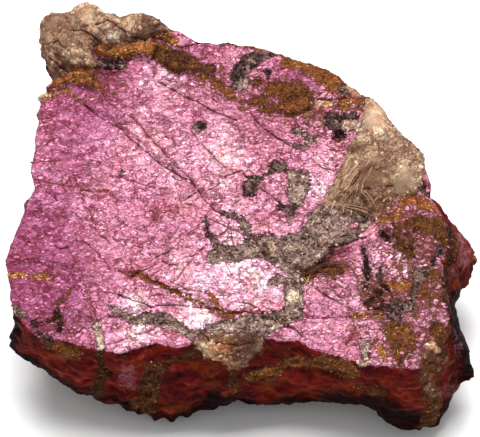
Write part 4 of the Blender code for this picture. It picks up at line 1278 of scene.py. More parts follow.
def new_group(name, inputs, outputs):
    """An empty shader node group with number, colour or vector sockets, and its recipe."""
    group = bpy.data.node_groups.new(name, "ShaderNodeTree")
    for socket, (kind, value) in inputs.items():
        made = group.interface.new_socket(socket, in_out="INPUT", socket_type=kind)
        if value is not None:
            made.default_value = value
    for socket, kind in outputs.items():
        group.interface.new_socket(socket, in_out="OUTPUT", socket_type=kind)
    return group, Recipe(group), group.nodes.new("NodeGroupInput").outputs


def close_group(group, results):
    end = group.nodes.new("NodeGroupOutput")
    for name, socket in results.items():
        group.links.new(socket, end.inputs[name])


NUMBER = "NodeSocketFloat"
VECTOR = "NodeSocketVector"
COLOUR = "NodeSocketColor"

# Ragged patch: turns the distance inside a patch into a mask with a torn, grainy edge
ragged_patch, make, given = new_group(
    "Ragged patch",
    {"Place": (VECTOR, None), "Distance": (NUMBER, 0.0), "Tear": (NUMBER, 2.0),
     "Tear size": (NUMBER, 1.0), "Softness": (NUMBER, 0.5)},
    {"Mask": NUMBER, "Edge": NUMBER})
tear = make.noise(given["Place"], scale=given["Tear size"], detail=4.0, roughness=0.75)
tear = make.product(make.math("SUBTRACT", tear, 0.5), given["Tear"])
torn = make.math("ADD", given["Distance"], tear)
soft = given["Softness"]
mask = make.step(torn, make.product(soft, -1.0), soft)
edge = make.step(make.math("ABSOLUTE", torn), 0.0, 1.6, 1.0, 0.0)
close_group(ragged_patch, {"Mask": mask, "Edge": edge})

# Thin line: turns the offset from a course into a hairline whose width wanders
thin_line, make, given = new_group(
    "Thin line",
    {"Place": (VECTOR, None), "Offset": (NUMBER, 0.0), "Near": (NUMBER, 0.0),
     "Width": (NUMBER, 1.0), "Wander": (NUMBER, 5.0)},
    {"Mask": NUMBER})
wander = make.math("SUBTRACT", make.noise(given["Place"], 0.8, 4.0, 0.65), 0.5)
offset = make.math("ADD", given["Offset"], make.product(wander, given["Wander"]))
swell = make.noise(given["Place"], scale=0.5, detail=2.0)
width = make.product(given["Width"], make.step(swell, 0.35, 0.65, 0.6, 1.6))
line = make.step(make.math("ABSOLUTE", offset), 0.0, width, 1.0, 0.0)
close = make.step(given["Near"], 0.3, 0.62)
close_group(thin_line, {"Mask": make.product(line, close)})


def colour_group(name, stops):
    """A group that turns a tone from 0 to 1 into a mineral's colour."""
    group, make, given = new_group(name, {"Value": (NUMBER, 0.5)}, {"Color": COLOUR})
    close_group(group, {"Color": make.tones(given["Value"], *stops)})
    return group


# The colours of the four minerals, from dark to light, for the stone and its loose grains
# Cleavage: its lightest stops, near white, are painted glints
cleavage_colour = colour_group("Cleavage colour", (
    (0.0, srgb(84, 26, 44)),
    (0.25, srgb(148, 66, 92)),
    (0.5, srgb(194, 118, 146)),
    (0.75, srgb(230, 164, 188)),
    (0.92, srgb(252, 210, 226)),
    (1.0, srgb(255, 240, 240))))
matrix_colour = colour_group("Matrix colour", (
    (0.0, srgb(30, 18, 18)),
    (0.25, srgb(76, 54, 50)),
    (0.5, srgb(122, 96, 88)),
    (0.75, srgb(162, 136, 122)),
    (1.0, srgb(230, 206, 186))))
feldspar_colour = colour_group("Feldspar colour", (
    (0.0, srgb(50, 30, 22)),
    (0.25, srgb(104, 72, 56)),
    (0.5, srgb(152, 116, 92)),
    (0.75, srgb(196, 162, 130)),
    (1.0, srgb(244, 226, 200))))
oxide_colour = colour_group("Oxide colour", (
    (0.0, srgb(28, 14, 6)),
    (0.22, srgb(72, 42, 24)),
    (0.45, srgb(114, 68, 38)),
    (0.7, srgb(156, 90, 46)),
    (0.9, srgb(200, 144, 90)),
    (1.0, srgb(234, 192, 140))))

stone_finish = bpy.data.materials.new("purpurite")
stone_finish.use_nodes = True
tree = stone_finish.node_tree
shader = tree.nodes["Principled BSDF"]
make = Recipe(tree)

in_metres = tree.nodes.new("ShaderNodeTexCoord").outputs["Object"]
place = make.scaled(in_metres, [1.0 / MM] * 3)
BEND = 3.0
bend = make.noise(place, scale=0.5, detail=2.0, output="Color")
bend = make.add("ShaderNodeVectorMath", {0: bend, 1: (0.5, 0.5, 0.5)}, operation="SUBTRACT")
bend = make.scaled(bend, [BEND] * 3)
crumpled = make.add("ShaderNodeVectorMath", {0: place, 1: bend}, operation="ADD")
level = make.scaled(crumpled, (0.30, 1.0, 1.0))
half_level = make.scaled(crumpled, (0.55, 1.0, 1.0))
shine = make.stored("shine")
purple = make.stored("purple")
streaked = make.stored("streaked")
stain = make.stored("stain")

# Purpurite: crushed-foil cleavage, bright flakes on deep magenta with hairlines between. The
# bright flakes are partly the mineral's own mottle and partly painted glints, near white at the top
grains = make.strong_noise(crumpled, scale=2.2, detail=3.0, roughness=0.6)
streaks = make.strong_noise(level, scale=2.6, detail=3.0, roughness=0.6)
streak_share = make.product(streaked, 0.85)
foil = make.between(streak_share, grains, streaks)
flakes = make.cell_tones(half_level, scale=1.25)
chips = make.cell_tones(half_level, scale=2.3, channel=1)
broad = make.strong_noise(place, scale=0.17, detail=3.0)
web = make.cell_edges(half_level, scale=0.62)
web = make.step(web, 0.02, 0.17, 1.0, 0.0)
web = make.product(web, make.step(grains, 0.1, 0.9, 1.0, 0.3))
fine_web = make.cell_edges(half_level, scale=1.5)
fine_web = make.step(fine_web, 0.0, 0.16, 0.5, 0.0)
folds = make.contour(make.noise(level, scale=0.45, detail=4.0, roughness=0.6), thin=0.0, wide=0.06)
folds = make.product(folds, make.step(streaked, 0.0, 0.7, 0.3, 1.0))
lines = make.largest(web, fine_web, folds)
long_hairs = make.noise(make.scaled(crumpled, (0.7, 1.0, 1.0)), 0.17, 5.0, 0.5)
long_hairs = make.contour(long_hairs, thin=0.004, wide=0.026)
steep_hairs = make.noise(make.scaled(crumpled, (1.0, 0.6, 1.0)), 0.13, 5.0, 0.5)
steep_hairs = make.contour(steep_hairs, thin=0.003, wide=0.02, middle=0.47)
hairs = make.largest(long_hairs, steep_hairs)
hairs = make.product(hairs, make.step(grains, 0.1, 0.6, 0.3, 1.0))
value = make.varied(0.58, foil, 0.40)
value = make.varied(value, flakes, 0.24)
value = make.varied(value, chips, 0.14)
value = make.varied(value, broad, 0.22)
value = make.math("MULTIPLY_ADD", purple, -0.06, value)
value = make.math("ADD", value, shine, clamp=True)
pink = make.group(cleavage_colour, {"Value": value})
peach = make.step(make.strong_noise(place, scale=0.11, detail=2.0), 0.45, 0.9, 0.0, 0.5)
peach = make.product(peach, make.without(purple))
pink = make.blend(peach, pink, srgb(255, 240, 206), "MULTIPLY")
pink = make.blend(make.product(purple, 0.7), pink, srgb(226, 204, 246), "MULTIPLY")
pink = make.blend(make.product(lines, 0.78), pink, srgb(94, 32, 50))
pink = make.blend(make.product(hairs, 0.85), pink, srgb(86, 28, 30))

# Grey veins: sugary matrix, nearly black to olive grey, striped across in places
grey_tone = make.stored("grey_tone")
sugar = make.strong_noise(place, scale=2.4, detail=4.0, roughness=0.8)
blotch = make.strong_noise(crumpled, scale=0.45, detail=4.0)
specks = make.cell_tones(crumpled, scale=1.7)
grey_value = make.varied(grey_tone, sugar, 0.36)
grey_value = make.varied(grey_value, blotch, 0.62)
grey_value = make.varied(grey_value, specks, 0.50)
grey_colour = make.group(matrix_colour, {"Value": grey_value})

# Feldspar: cream to smoky brown, in blocks and slanting fibres
tan_tone = make.stored("tan_tone")
slanted = make.add(
    "ShaderNodeMapping", {"Vector": place, "Rotation": (0.0, 0.0, math.radians(-55.0))})
fibre_tone = make.strong_noise(make.scaled(slanted, (0.30, 1.8, 1.0)), 1.2, 3.0, 0.6)
block_tone = make.cell_tones(crumpled, scale=0.55)
crumbly = make.math("MULTIPLY_ADD", make.stored("smooth_block"), -0.8, 1.0)
tan_mottle = make.varied(0.0, fibre_tone, 0.24)
tan_mottle = make.varied(tan_mottle, block_tone, 0.36)
tan_mottle = make.varied(tan_mottle, sugar, 0.26)
tan_value = make.math("MULTIPLY_ADD", tan_mottle, crumbly, tan_tone)
tan_value = make.varied(tan_value, blotch, 0.16)
tan_colour = make.group(feldspar_colour, {"Value": tan_value})
creases = make.cell_edges(make.scaled(crumpled, (1.0, 0.8, 1.0)), scale=0.34)
creases = make.step(creases, 0.0, 0.09, 1.0, 0.0)
fine_creases = make.contour(make.noise(slanted, scale=0.55, detail=4.0, roughness=0.7), 0.0, 0.022)
creases = make.product(make.largest(creases, fine_creases), crumbly)
greyness = make.step(make.strong_noise(crumpled, scale=0.3, detail=4.0), 0.45, 0.75, 0.0, 0.75)
greyness = make.product(greyness, crumbly)
tan_colour = make.blend(greyness, tan_colour, srgb(206, 196, 208), "MULTIPLY")
tan_colour = make.blend(make.product(creases, 0.75), tan_colour, srgb(84, 58, 52))
warmth = make.step(make.strong_noise(place, scale=0.22, detail=3.0), 0.45, 0.9, 0.0, 0.4)
tan_colour = make.blend(warmth, tan_colour, srgb(255, 214, 206), "MULTIPLY")
rusted = make.step(stain, 0.2, 1.0, 0.0, 0.8)
tan_colour = make.blend(rusted, tan_colour, srgb(250, 184, 122), "MULTIPLY")

# Iron oxide: dark granular brown to rusty ochre, with black lines along the ledges
ochre_tone = make.stored("ochre_tone")
crumbs = make.strong_noise(make.scaled(crumpled, (0.5, 1.1, 1.1)), 1.7, 4.0, 0.75)
ochre_value = make.varied(ochre_tone, crumbs, 0.62)
ochre_value = make.varied(ochre_value, specks, 0.22)
ochre_value = make.varied(ochre_value, blotch, 0.34)
ochre_colour = make.group(oxide_colour, {"Value": ochre_value})
olive = make.strong_noise(place, scale=0.28, detail=3.0)
ochre_colour = make.blend(
    make.step(olive, 0.45, 0.9, 0.0, 0.7), ochre_colour, srgb(206, 226, 190), "MULTIPLY")
ochre_colour = make.blend(
    make.step(olive, 0.1, 0.5, 0.7, 0.0), ochre_colour, srgb(244, 206, 214), "MULTIPLY")
ledge_lines = make.noise(make.scaled(crumpled, (0.28, 1.0, 1.0)), 0.8, 4.0, 0.65)
ledge_lines = make.contour(ledge_lines, thin=0.0, wide=0.035, strength=0.9)
ochre_colour = make.blend(ledge_lines, ochre_colour, srgb(36, 18, 10))

# Broken side: wine-red crust with rusty clouds, and painted shade, nearly black, at the foot
clouds = make.strong_noise(make.scaled(crumpled, (0.35, 0.35, 0.9)), 0.5, 4.0, 0.7)
rust = make.strong_noise(make.scaled(crumpled, (0.3, 0.3, 1.2)), 0.36, 3.0, 0.6)
side_colour = make.tones(
    clouds,
    (0.0, srgb(40, 2, 8)),
    (0.4, srgb(82, 12, 14)),
    (0.7, srgb(116, 28, 18)),
    (1.0, srgb(146, 58, 38)))
side_colour = make.blend(make.step(rust, 0.5, 1.1, 0.0, 0.8), side_colour, srgb(126, 64, 20))
# Painted shade: the side turns nearly black within about 12 pixels of its lowest edge
foot_shade_gap = make.stored("foot_shade_gap")
foot = make.varied(foot_shade_gap, clouds, 8.0)
foot = make.step(foot, 0.0, 12.0, 0.92, 0.0)
side_colour = make.blend(foot, side_colour, srgb(8, 2, 4))


def patch_mask(stored, tear, tear_size, softness):
    """Mask of the patches whose distance is stored under the name, and a line round them."""
    inputs = {"Place": place, "Distance": make.stored(stored), "Tear": tear,
              "Tear size": tear_size, "Softness": softness}
    mask = make.group(ragged_patch, inputs, "Mask")
    return mask, mask.node.outputs["Edge"]


def course_mask(stored, width):
    """Hairline along the courses whose offset is stored under the name."""
    inputs = {"Place": place, "Offset": make.stored(stored),
              "Near": make.stored(stored + "_near"), "Width": width, "Wander": 3.5}
    return make.group(thin_line, inputs)


top_mask = patch_mask("on_top", tear=8.0, tear_size=0.7, softness=0.4)[0]
pink_side = patch_mask("wall_pink", tear=30.0, tear_size=0.7, softness=0.8)[0]
top_or_pink = make.largest(top_mask, make.product(pink_side, 0.3))
ochre_mask, ochre_edge = patch_mask("ochre", tear=24.0, tear_size=0.7, softness=0.7)
grey_mask, grey_edge = patch_mask("grey", tear=16.0, tear_size=0.8, softness=0.5)
tan_mask, tan_edge = patch_mask("tan", tear=16.0, tear_size=0.8, softness=0.5)
crack_mask = course_mask("crack", width=1.4)
seam_mask = course_mask("seam", width=1.15)

# Stain: rusty veinlets and black hairlines that crowd round the veins and the ledges
stain_web = make.cell_edges(make.scaled(crumpled, (0.8, 1.0, 1.0)), scale=0.5)
stain_width = make.product(make.step(crumbs, 0.2, 1.0, 0.05, 0.34), stain)
stain_web = make.step(make.math("SUBTRACT", stain_width, stain_web), -0.05, 0.05)
stain_specks = make.math("MULTIPLY_ADD", stain, 0.42, crumbs)
stain_specks = make.product(make.step(stain_specks, 0.92, 1.12), stain)
stain_mask = make.largest(stain_web, stain_specks)
stain_value = make.varied(0.36, sugar, 0.7)
stain_colour = make.group(oxide_colour, {"Value": stain_value})

colour = make.blend(make.product(seam_mask, 0.95), pink, srgb(98, 38, 22))
colour = make.blend(make.product(stain_mask, 0.92), colour, stain_colour)
stain_lines = make.product(make.product(lines, stain), 0.5)
colour = make.blend(stain_lines, colour, srgb(48, 24, 18))
colour = make.blend(top_or_pink, side_colour, colour)
colour = make.blend(ochre_mask, colour, ochre_colour)
colour = make.blend(make.product(ochre_edge, 0.6), colour, srgb(58, 26, 20))
colour = make.blend(grey_mask, colour, grey_colour)
colour = make.blend(make.product(grey_edge, 0.85), colour, srgb(34, 20, 20))
colour = make.blend(tan_mask, colour, tan_colour)
colour = make.blend(make.product(tan_edge, 0.55), colour, srgb(70, 44, 38))
colour = make.blend(make.product(crack_mask, 0.97), colour, srgb(64, 22, 16))
tree.links.new(colour, shader.inputs["Base Color"])

# Bare cleavage alone is smooth and satiny. The coat stays weak, because it bleaches the pink.
ROUGH_MINERALS = 0.7
METALLIC_SHARE = 0.25
COAT_ROUGHNESS = 0.25
SPECULAR_LEVEL = 0.06
bare = make.without(ochre_mask)
lined = make.largest(crack_mask, seam_mask, stain_mask)
for share in (
        make.without(grey_mask), make.without(tan_mask), top_or_pink, make.without(lined)):
    bare = make.product(bare, share)
dullness = make.step(value, 0.2, 0.9, 0.50, 0.30)
roughness = make.between(bare, ROUGH_MINERALS, dullness)
tree.links.new(roughness, shader.inputs["Roughness"])
tree.links.new(make.product(bare, METALLIC_SHARE), shader.inputs["Metallic"])
gloss = make.product(bare, make.step(value, 0.6, 1.0, 0.0, 0.35))
tree.links.new(gloss, shader.inputs["Coat Weight"])
shader.inputs["Coat Roughness"].default_value = COAT_ROUGHNESS
shader.inputs["Specular IOR Level"].default_value = SPECULAR_LEVEL

# Bump: flakes stand up, hairlines and cracks go in
BUMP_HEIGHT = 0.25 * MM
BUMP_STRENGTH = 0.9
height = make.product(foil, 0.45)
height = make.math("MULTIPLY_ADD", flakes, 0.25, height)
height = make.math("MULTIPLY_ADD", chips, 0.20, height)
height = make.math("MULTIPLY_ADD", lines, -0.35, height)
grit = make.math("MULTIPLY_ADD", sugar, 0.5, make.product(crumbs, 0.5))
height = make.between(bare, grit, height)
height = make.math("MULTIPLY_ADD", make.product(creases, tan_mask), -0.7, height)
height = make.math("MULTIPLY_ADD", crack_mask, -0.8, height)
height = make.math("MULTIPLY_ADD", seam_mask, -0.4, height)
bump = make.add(
    "ShaderNodeBump",
    {"Strength": BUMP_STRENGTH, "Distance": BUMP_HEIGHT, "Height": height}, "Normal")
tree.links.new(bump, shader.inputs["Normal"])

stone.data.materials.clear()
stone.data.materials.append(stone_finish)
for polygon in stone.data.polygons:
    polygon.use_smooth = True
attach(stone, "root")
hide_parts("purpurite")


# Loose plates of cleavage, glinting flakes of purpurite a millimetre across that lie on the pink
# face where thin layers have split off. Here Geometry Nodes scatter one plate over the face.
FLAKE_SIZES = (0.3 * MM, 1.0 * MM)
FLAKES_PER_SQUARE_METRE = 0.9e6
FLAKE_TILT = math.radians(9.0)
ALONG_THE_STREAKS = (1.0, 0.1, 0.0)
BARE_BESIDE_CRACKS_PX = 1.5
SMALLEST_SHAPE = (0.65, 0.55, 0.6)
LARGEST_SHAPE = (1.3, 1.2, 1.3)
GROUND_GAP = 1.0 * MM
MOTTLES_PER_METRE = 1.1 / MM
MOTTLE_SHARE = 0.3
DULLER = 0.15
GRAIN_SPECULAR_LEVEL = 0.2


def scatter_tree():
    """Geometry Nodes that strew a grain over a surface, as thickly as its share asks for."""
    tree = bpy.data.node_groups.new("Scattered grains", "GeometryNodeTree")
    for name, kind in {
        "Surface": "NodeSocketGeometry", "Grain": "NodeSocketObject", "Amount": NUMBER,
        "Least size": NUMBER, "Largest size": NUMBER, "Direction": VECTOR, "Spin": NUMBER,
        "Tilt": NUMBER, "Seed": "NodeSocketInt", "Finish": "NodeSocketMaterial",
    }.items():
        tree.interface.new_socket(name, in_out="INPUT", socket_type=kind)
    tree.interface.new_socket("Grains", in_out="OUTPUT", socket_type="NodeSocketGeometry")
    given = tree.nodes.new("NodeGroupInput").outputs
    make = Recipe(tree)

    def random(low, high, seed, kind="FLOAT"):
        first, second, output = (0, 1, 0) if kind == "FLOAT_VECTOR" else (2, 3, 1)
        seed = make.math("ADD", given["Seed"], seed)
        inputs = {first: low, second: high, "Seed": seed}
        return make.add("FunctionNodeRandomValue", inputs, output, data_type=kind)

    def named(name):
        return make.add("GeometryNodeInputNamedAttribute", {"Name": name}, data_type="FLOAT")

    strewn = tree.nodes.new("GeometryNodeDistributePointsOnFaces")
    tree.links.new(given["Surface"], strewn.inputs["Mesh"])
    density = make.product(given["Amount"], named("share"))
    tree.links.new(density, strewn.inputs["Density"])
    tree.links.new(given["Seed"], strewn.inputs["Seed"])
    lie = make.add(
        "FunctionNodeAlignRotationToVector",
        {"Rotation": strewn.outputs["Rotation"], "Vector": given["Direction"]},
        axis="X", pivot_axis="Z")
    most = make.add(
        "ShaderNodeCombineXYZ", {0: given["Tilt"], 1: given["Tilt"], 2: given["Spin"]})
    least = make.scaled(most, (-1.0, -1.0, -1.0))
    turn = make.add(
        "FunctionNodeEulerToRotation", {"Euler": random(least, most, 1.0, "FLOAT_VECTOR")})
    lie = make.add(
        "FunctionNodeRotateRotation", {"Rotation": lie, "Rotate By": turn},
        rotation_space="LOCAL")
    chance = random(0.0, 1.0, 2.0)
    chance = make.product(chance, chance)
    reach = make.math("SUBTRACT", given["Largest size"], given["Least size"])
    size = make.math("MULTIPLY_ADD", reach, chance, given["Least size"])
    shape = random(SMALLEST_SHAPE, LARGEST_SHAPE, 3.0, "FLOAT_VECTOR")
    shape = make.add(
        "ShaderNodeVectorMath", {0: shape, "Scale": size}, operation="SCALE")
    grain = make.add("GeometryNodeObjectInfo", {"Object": given["Grain"]}, "Geometry")
    placed = make.add(
        "GeometryNodeInstanceOnPoints",
        {"Points": strewn.outputs["Points"], "Instance": grain, "Rotation": lie,
         "Scale": shape})
    toned = make.add(
        "GeometryNodeStoreNamedAttribute",
        {"Geometry": placed, "Name": "tone", "Value": random(0.0, 1.0, 4.0)},
        data_type="FLOAT", domain="INSTANCE")
    real = make.add("GeometryNodeRealizeInstances", {"Geometry": toned})
    done = make.add(
        "GeometryNodeSetMaterial", {"Geometry": real, "Material": given["Finish"]})
    end = tree.nodes.new("NodeGroupOutput")
    tree.links.new(done, end.inputs[0])
    return tree


def grown(piece, tree, values):
    """Give a piece its Geometry Nodes and inputs, and keep the mesh that they make."""
    maker = piece.modifiers.new("maker", "NODES")
    maker.node_group = tree
    for item in tree.interface.items_tree:
        if item.name in values:
            maker[item.identifier] = values[item.name]
    applied(piece)
    while piece.data.materials[0] is None:
        piece.data.materials.pop(index=0)


def scattered(name, share, shade, grain, finish, sizes, amount, seed,
              direction=(1.0, 0.0, 0.0), spin=math.pi, tilt=0.5):
    """Strew the grain over the stone, each with the shade of the spot it lies on."""
    surface = stone.data.copy()
    surface.name = name
    for stored in STORED:
        surface.attributes.remove(surface.attributes[stored])
    clear_of_ground = smooth_step(points[:, 2] / GROUND_GAP - 1.0)
    store(surface, "share", np.clip(share * clear_of_ground, 0.0, 1.0))
    store(surface, "shade", shade)
    piece = new_object(name, surface)
    grown(piece, strewing, {
        "Grain": grain, "Finish": finish, "Amount": amount, "Least size": sizes[0],
        "Largest size": sizes[1], "Direction": direction, "Spin": spin, "Tilt": tilt,
        "Seed": seed})
    bpy.data.objects.remove(grain)
    return piece


def grain_shape(name, shape_it):
    """A single grain about one metre across, for the nodes to scale and strew."""
    form = bmesh.new()
    shape_it(form)
    bmesh.ops.triangulate(form, faces=form.faces[:])
    mesh = bpy.data.meshes.new(name)
    form.to_mesh(mesh)
    form.free()
    return new_object(name, mesh)


def plate_shape(name, sides, foot, top, depth, matrix=Matrix()):
    """A plate or a sliver: a cone with its tip cut off."""
    return grain_shape(name, lambda form: bmesh.ops.create_cone(
        form, cap_ends=True, segments=sides, radius1=foot, radius2=top, depth=depth,
        matrix=matrix))


def grain_finish(name, colours, contrast, roughness, metallic=0.0):
    """Finish of loose grains: the mineral's colours, by the shade of the spot and by chance."""
    finish = bpy.data.materials.new(name)
    finish.use_nodes = True
    tree = finish.node_tree
    shader = tree.nodes["Principled BSDF"]
    make = Recipe(tree)
    place = tree.nodes.new("ShaderNodeTexCoord").outputs["Object"]
    mottle = make.strong_noise(place, scale=MOTTLES_PER_METRE, detail=3.0)
    value = make.varied(make.stored("shade"), make.stored("tone"), contrast)
    value = make.varied(value, mottle, MOTTLE_SHARE * contrast, clamp=True)
    tree.links.new(make.group(colours, {"Value": value}), shader.inputs["Base Color"])
    dullness = make.step(value, 0.2, 1.0, roughness + DULLER, roughness)
    tree.links.new(dullness, shader.inputs["Roughness"])
    shader.inputs["Metallic"].default_value = metallic
    shader.inputs["Specular IOR Level"].default_value = GRAIN_SPECULAR_LEVEL
    return finish


strewing = scatter_tree()
away_from_cracks = smooth_step(np.minimum(crack_gap, seam_gap) / BARE_BESIDE_CRACKS_PX)
unstained = 1.0 - 0.85 * STORED["stain"]
unstreaked = 1.0 - 0.5 * STORED["streaked"]
# The flakes' shade takes in the painted light and shade of the shine spots, and their lightest
# tones, near white, are painted glints
flakes_on_face = scattered(
    "cleavage_flakes",
    share=cleavage * away_from_cracks * unstained * unstreaked,
    shade=0.52 + STORED["shine"] - 0.06 * STORED["purple"],
    grain=plate_shape(
        "flake", sides=5, foot=0.5, top=0.4, depth=0.12,
        matrix=Matrix.Diagonal((1.5, 0.75, 1.0, 1.0))),
    finish=grain_finish("purpurite flakes", cleavage_colour, 0.34, 0.36, metallic=0.15),
    sizes=FLAKE_SIZES, amount=FLAKES_PER_SQUARE_METRE, seed=3,
    direction=ALONG_THE_STREAKS, spin=0.7, tilt=FLAKE_TILT)
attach(flakes_on_face, "root")

# Feldspar splinters, cream and brown slivers a few millimetres long that stand off the fibrous
# side of the lump. They follow the grain of the feldspar.
SPLINTER_SIZES = (0.8 * MM, 2.6 * MM)
SPLINTERS_PER_SQUARE_METRE = 3.0e6
GRAIN_OF_FELDSPAR = (-0.5, -0.85, -0.2)
FIBROUS = [(345, 190, 22, 0.9), (364, 206, 18, 0.7), (352, 172, 12, 0.5)]
lying_down = Matrix.Rotation(math.radians(90.0), 4, "Y")
# Splinters and chips take the feldspar's tone, with its painted light and shade, from where they
# lie
splinters = scattered(
    "feldspar_splinters",
    share=feldspar * np.where(hidden, 0.0, soft_spots(pixels, FIBROUS)),
    shade=STORED["tan_tone"],
    grain=plate_shape(
        "splinter", sides=4, foot=0.08, top=0.03, depth=1.0,
        matrix=lying_down @ Matrix.Diagonal((0.6, 1.2, 1.0, 1.0))),
    finish=grain_finish("feldspar splinters", feldspar_colour, 0.45, 0.55),
    sizes=SPLINTER_SIZES, amount=SPLINTERS_PER_SQUARE_METRE, seed=5,
    direction=GRAIN_OF_FELDSPAR, spin=0.45, tilt=0.10)
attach(splinters, "root")

# Feldspar chips, angular blocks and plates of the crumbling lump and knob, cream to smoky brown.
# They have split along the feldspar's own cleavage and still lie where they broke.
CHIP_SIZES = (0.25 * MM, 1.4 * MM)
CHIPS_PER_SQUARE_METRE = 0.6e6
NOT_CHIPPED = [*FIBROUS, (90, 35, 60, 0.6)]
feldspar_chips = scattered(
    "feldspar_chips",
    share=crumbling * np.where(hidden, 0.5, 1.0 - soft_spots(pixels, NOT_CHIPPED)),
    shade=STORED["tan_tone"],
    grain=plate_shape("chip", sides=5, foot=0.5, top=0.30, depth=0.30),
    finish=grain_finish("feldspar chips", feldspar_colour, 0.5, 0.5),
    sizes=CHIP_SIZES, amount=CHIPS_PER_SQUARE_METRE, seed=6,
    direction=GRAIN_OF_FELDSPAR, tilt=0.35)
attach(feldspar_chips, "root")

# Iron-oxide crumbs, dark brown to ochre grains that cake the ledges and the rusty patches. They
# are what the iron in the weathered phosphate has turned to.
CRUMB_SIZES = (0.16 * MM, 0.5 * MM)
CRUMBS_PER_SQUARE_METRE = 1.9e6
CRUMB_SEED = 4
CRUMB_UNEVENNESS = (0.72, 1.15)


def crumb(form):
    """A lumpy grain with 20 faces."""
    bmesh.ops.create_icosphere(form, subdivisions=1, radius=0.5)
    chance = np.random.default_rng(CRUMB_SEED)
    for corner in form.verts:
        corner.co *= chance.uniform(*CRUMB_UNEVENNESS)


oxide_crumbs = scattered(
    "iron_oxide_crumbs",
    share=np.where(hidden, 0.2, 1.0) * oxide + 0.18 * STORED["stain"] * cleavage,
    shade=np.where(oxide > 0.3, STORED["ochre_tone"], 0.35),
    grain=grain_shape("crumb", crumb),
    finish=grain_finish("iron oxide crumbs", oxide_colour, 1.0, 0.6),
    sizes=CRUMB_SIZES, amount=CRUMBS_PER_SQUARE_METRE, seed=8)
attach(oxide_crumbs, "root")

# Sugary grains of the grey veins, quartz and feldspar that stand proud of the darker matrix.
# They have grown into the vein, so only their tops show.
MATRIX_GRAIN_SIZES = (0.2 * MM, 0.9 * MM)
MATRIX_GRAINS_PER_SQUARE_METRE = 0.9e6
matrix_grains = scattered(
    "matrix_grains",
    share=vein,
    shade=STORED["grey_tone"],
    grain=grain_shape("matrix grain", crumb),
    finish=grain_finish("matrix grains", matrix_colour, 0.85, 0.5),
    sizes=MATRIX_GRAIN_SIZES, amount=MATRIX_GRAINS_PER_SQUARE_METRE, seed=12)
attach(matrix_grains, "root")

# Fibres, bundles of bent hair-thin crystals under the lump and in the torn vein beside it. Each
# bundle follows a course given in pixels. Geometry Nodes sweep its strands and taper their ends.
# A bundle: strands, spread in pixels, width in mm, shade from dark 0 to light 1, and course
FIBRE_BUNDLES = [
    (4, 2.2, 0.16, 0.72, [(358, 170), (352, 180), (346, 190), (340, 200)]),
    (4, 2.0, 0.16, 0.42, [(362, 176), (355, 188), (347, 198), (341, 205)]),
    (5, 2.4, 0.14, 0.62, [(359, 190), (364, 194), (369, 199), (373, 207), (378, 216)]),
    (3, 1.6, 0.14, 0.10, [(357, 193), (362, 197), (367, 204), (371, 212)]),
    (5, 2.0, 0.15, 0.55, [(334, 203), (345, 205), (356, 207), (367, 211), (378, 217)]),
    (3, 1.6, 0.15, 0.12, [(336, 206), (348, 208), (360, 212), (372, 217)]),
    (5, 1.6, 0.16, 0.32, [(309, 274), (314, 269), (320, 265), (330, 262), (342, 263), (350, 265)]),
    # Painted shadow: a nearly black bundle along the shade under the brown fibres
    (4, 1.4, 0.18, 0.04, [(312, 273), (320, 268), (328, 266), (336, 266), (344, 268)]),
    (3, 1.2, 0.15, 0.28, [(316, 275), (326, 275), (335, 278), (343, 281)]),
    (2, 0.8, 0.14, 0.75, [(310, 275), (307, 281), (303, 288)]),
    (2, 0.8, 0.14, 0.75, [(313, 279), (311, 284), (308, 290)]),
    (1, 0.4, 0.14, 0.80, [(302, 277), (307, 281), (312, 284)]),
    (3, 1.8, 0.13, 0.20, [(340, 262), (348, 266), (354, 272), (357, 280)]),
    (2, 1.2, 0.13, 0.66, [(344, 258), (352, 262), (358, 268)]),
    (2, 1.2, 0.13, 0.15, [(320, 289), (326, 294), (333, 299), (341, 302)]),
    (2, 1.4, 0.13, 0.18, [(326, 285), (333, 290), (340, 297), (345, 305)]),
]
STRAND_SEED = 11
STRAND_STEPS = 14
STRAND_CUT = 0.35
STRAND_SWAY = 0.16
FIBRE_LIFT = 0.18 * MM
LIFT_RANGE = (0.6, 2.2)
WIDTH_RANGE = (0.5, 1.2)
TONE_RANGE = (0.2, 0.8)

stone_tree = BVHTree.FromPolygons(
    [vertex.co for vertex in stone.data.vertices],
    [tuple(face.vertices) for face in stone.data.polygons])


def on_stone(pixels, lift):
    """The points of the stone that show at the pixels, lifted off its surface."""
    eye, directions = line_of_sight(pixels)
    points = []
    for direction in directions:
        spot, normal, face, reach = stone_tree.ray_cast(Vector(eye), Vector(direction))
        if spot:
            points.append(spot + normal * lift)
    return points


def fibre_courses():
    """A mesh of edges along the strands of all bundles, with their width, tone and shade."""
    chance = np.random.default_rng(STRAND_SEED)
    corners, edges, widths, tones, shades = [], [], [], [], []
    for strands, spread, width, shade, course in FIBRE_BUNDLES:
        course = np.array(course, dtype=float)
        along = np.arange(len(course))
        last = len(course) - 1.0
        for _ in range(strands):
            start, end = sorted(chance.uniform(0.0, last, 2))
            start, end = STRAND_CUT * start, last - STRAND_CUT * (last - end)
            steps = np.linspace(start, end, STRAND_STEPS)
            strand = np.stack([np.interp(steps, along, course[:, k]) for k in (0, 1)], axis=1)
            sway = np.cumsum(chance.normal(0.0, STRAND_SWAY, strand.shape), axis=0)
            strand += sway + chance.uniform(-spread, spread, 2)
            found = on_stone(strand, FIBRE_LIFT * chance.uniform(*LIFT_RANGE))
            first = len(corners)
            corners += [tuple(point) for point in found]
            edges += [(first + k, first + k + 1) for k in range(len(found) - 1)]
            widths += [width * MM * chance.uniform(*WIDTH_RANGE)] * len(found)
            tones += [chance.uniform(*TONE_RANGE)] * len(found)
            shades += [shade] * len(found)
    mesh = bpy.data.meshes.new("fibres")
    mesh.from_pydata(corners, edges, [])
    store(mesh, "width", widths)
    store(mesh, "tone", tones)
    store(mesh, "shade", shades)
    return mesh


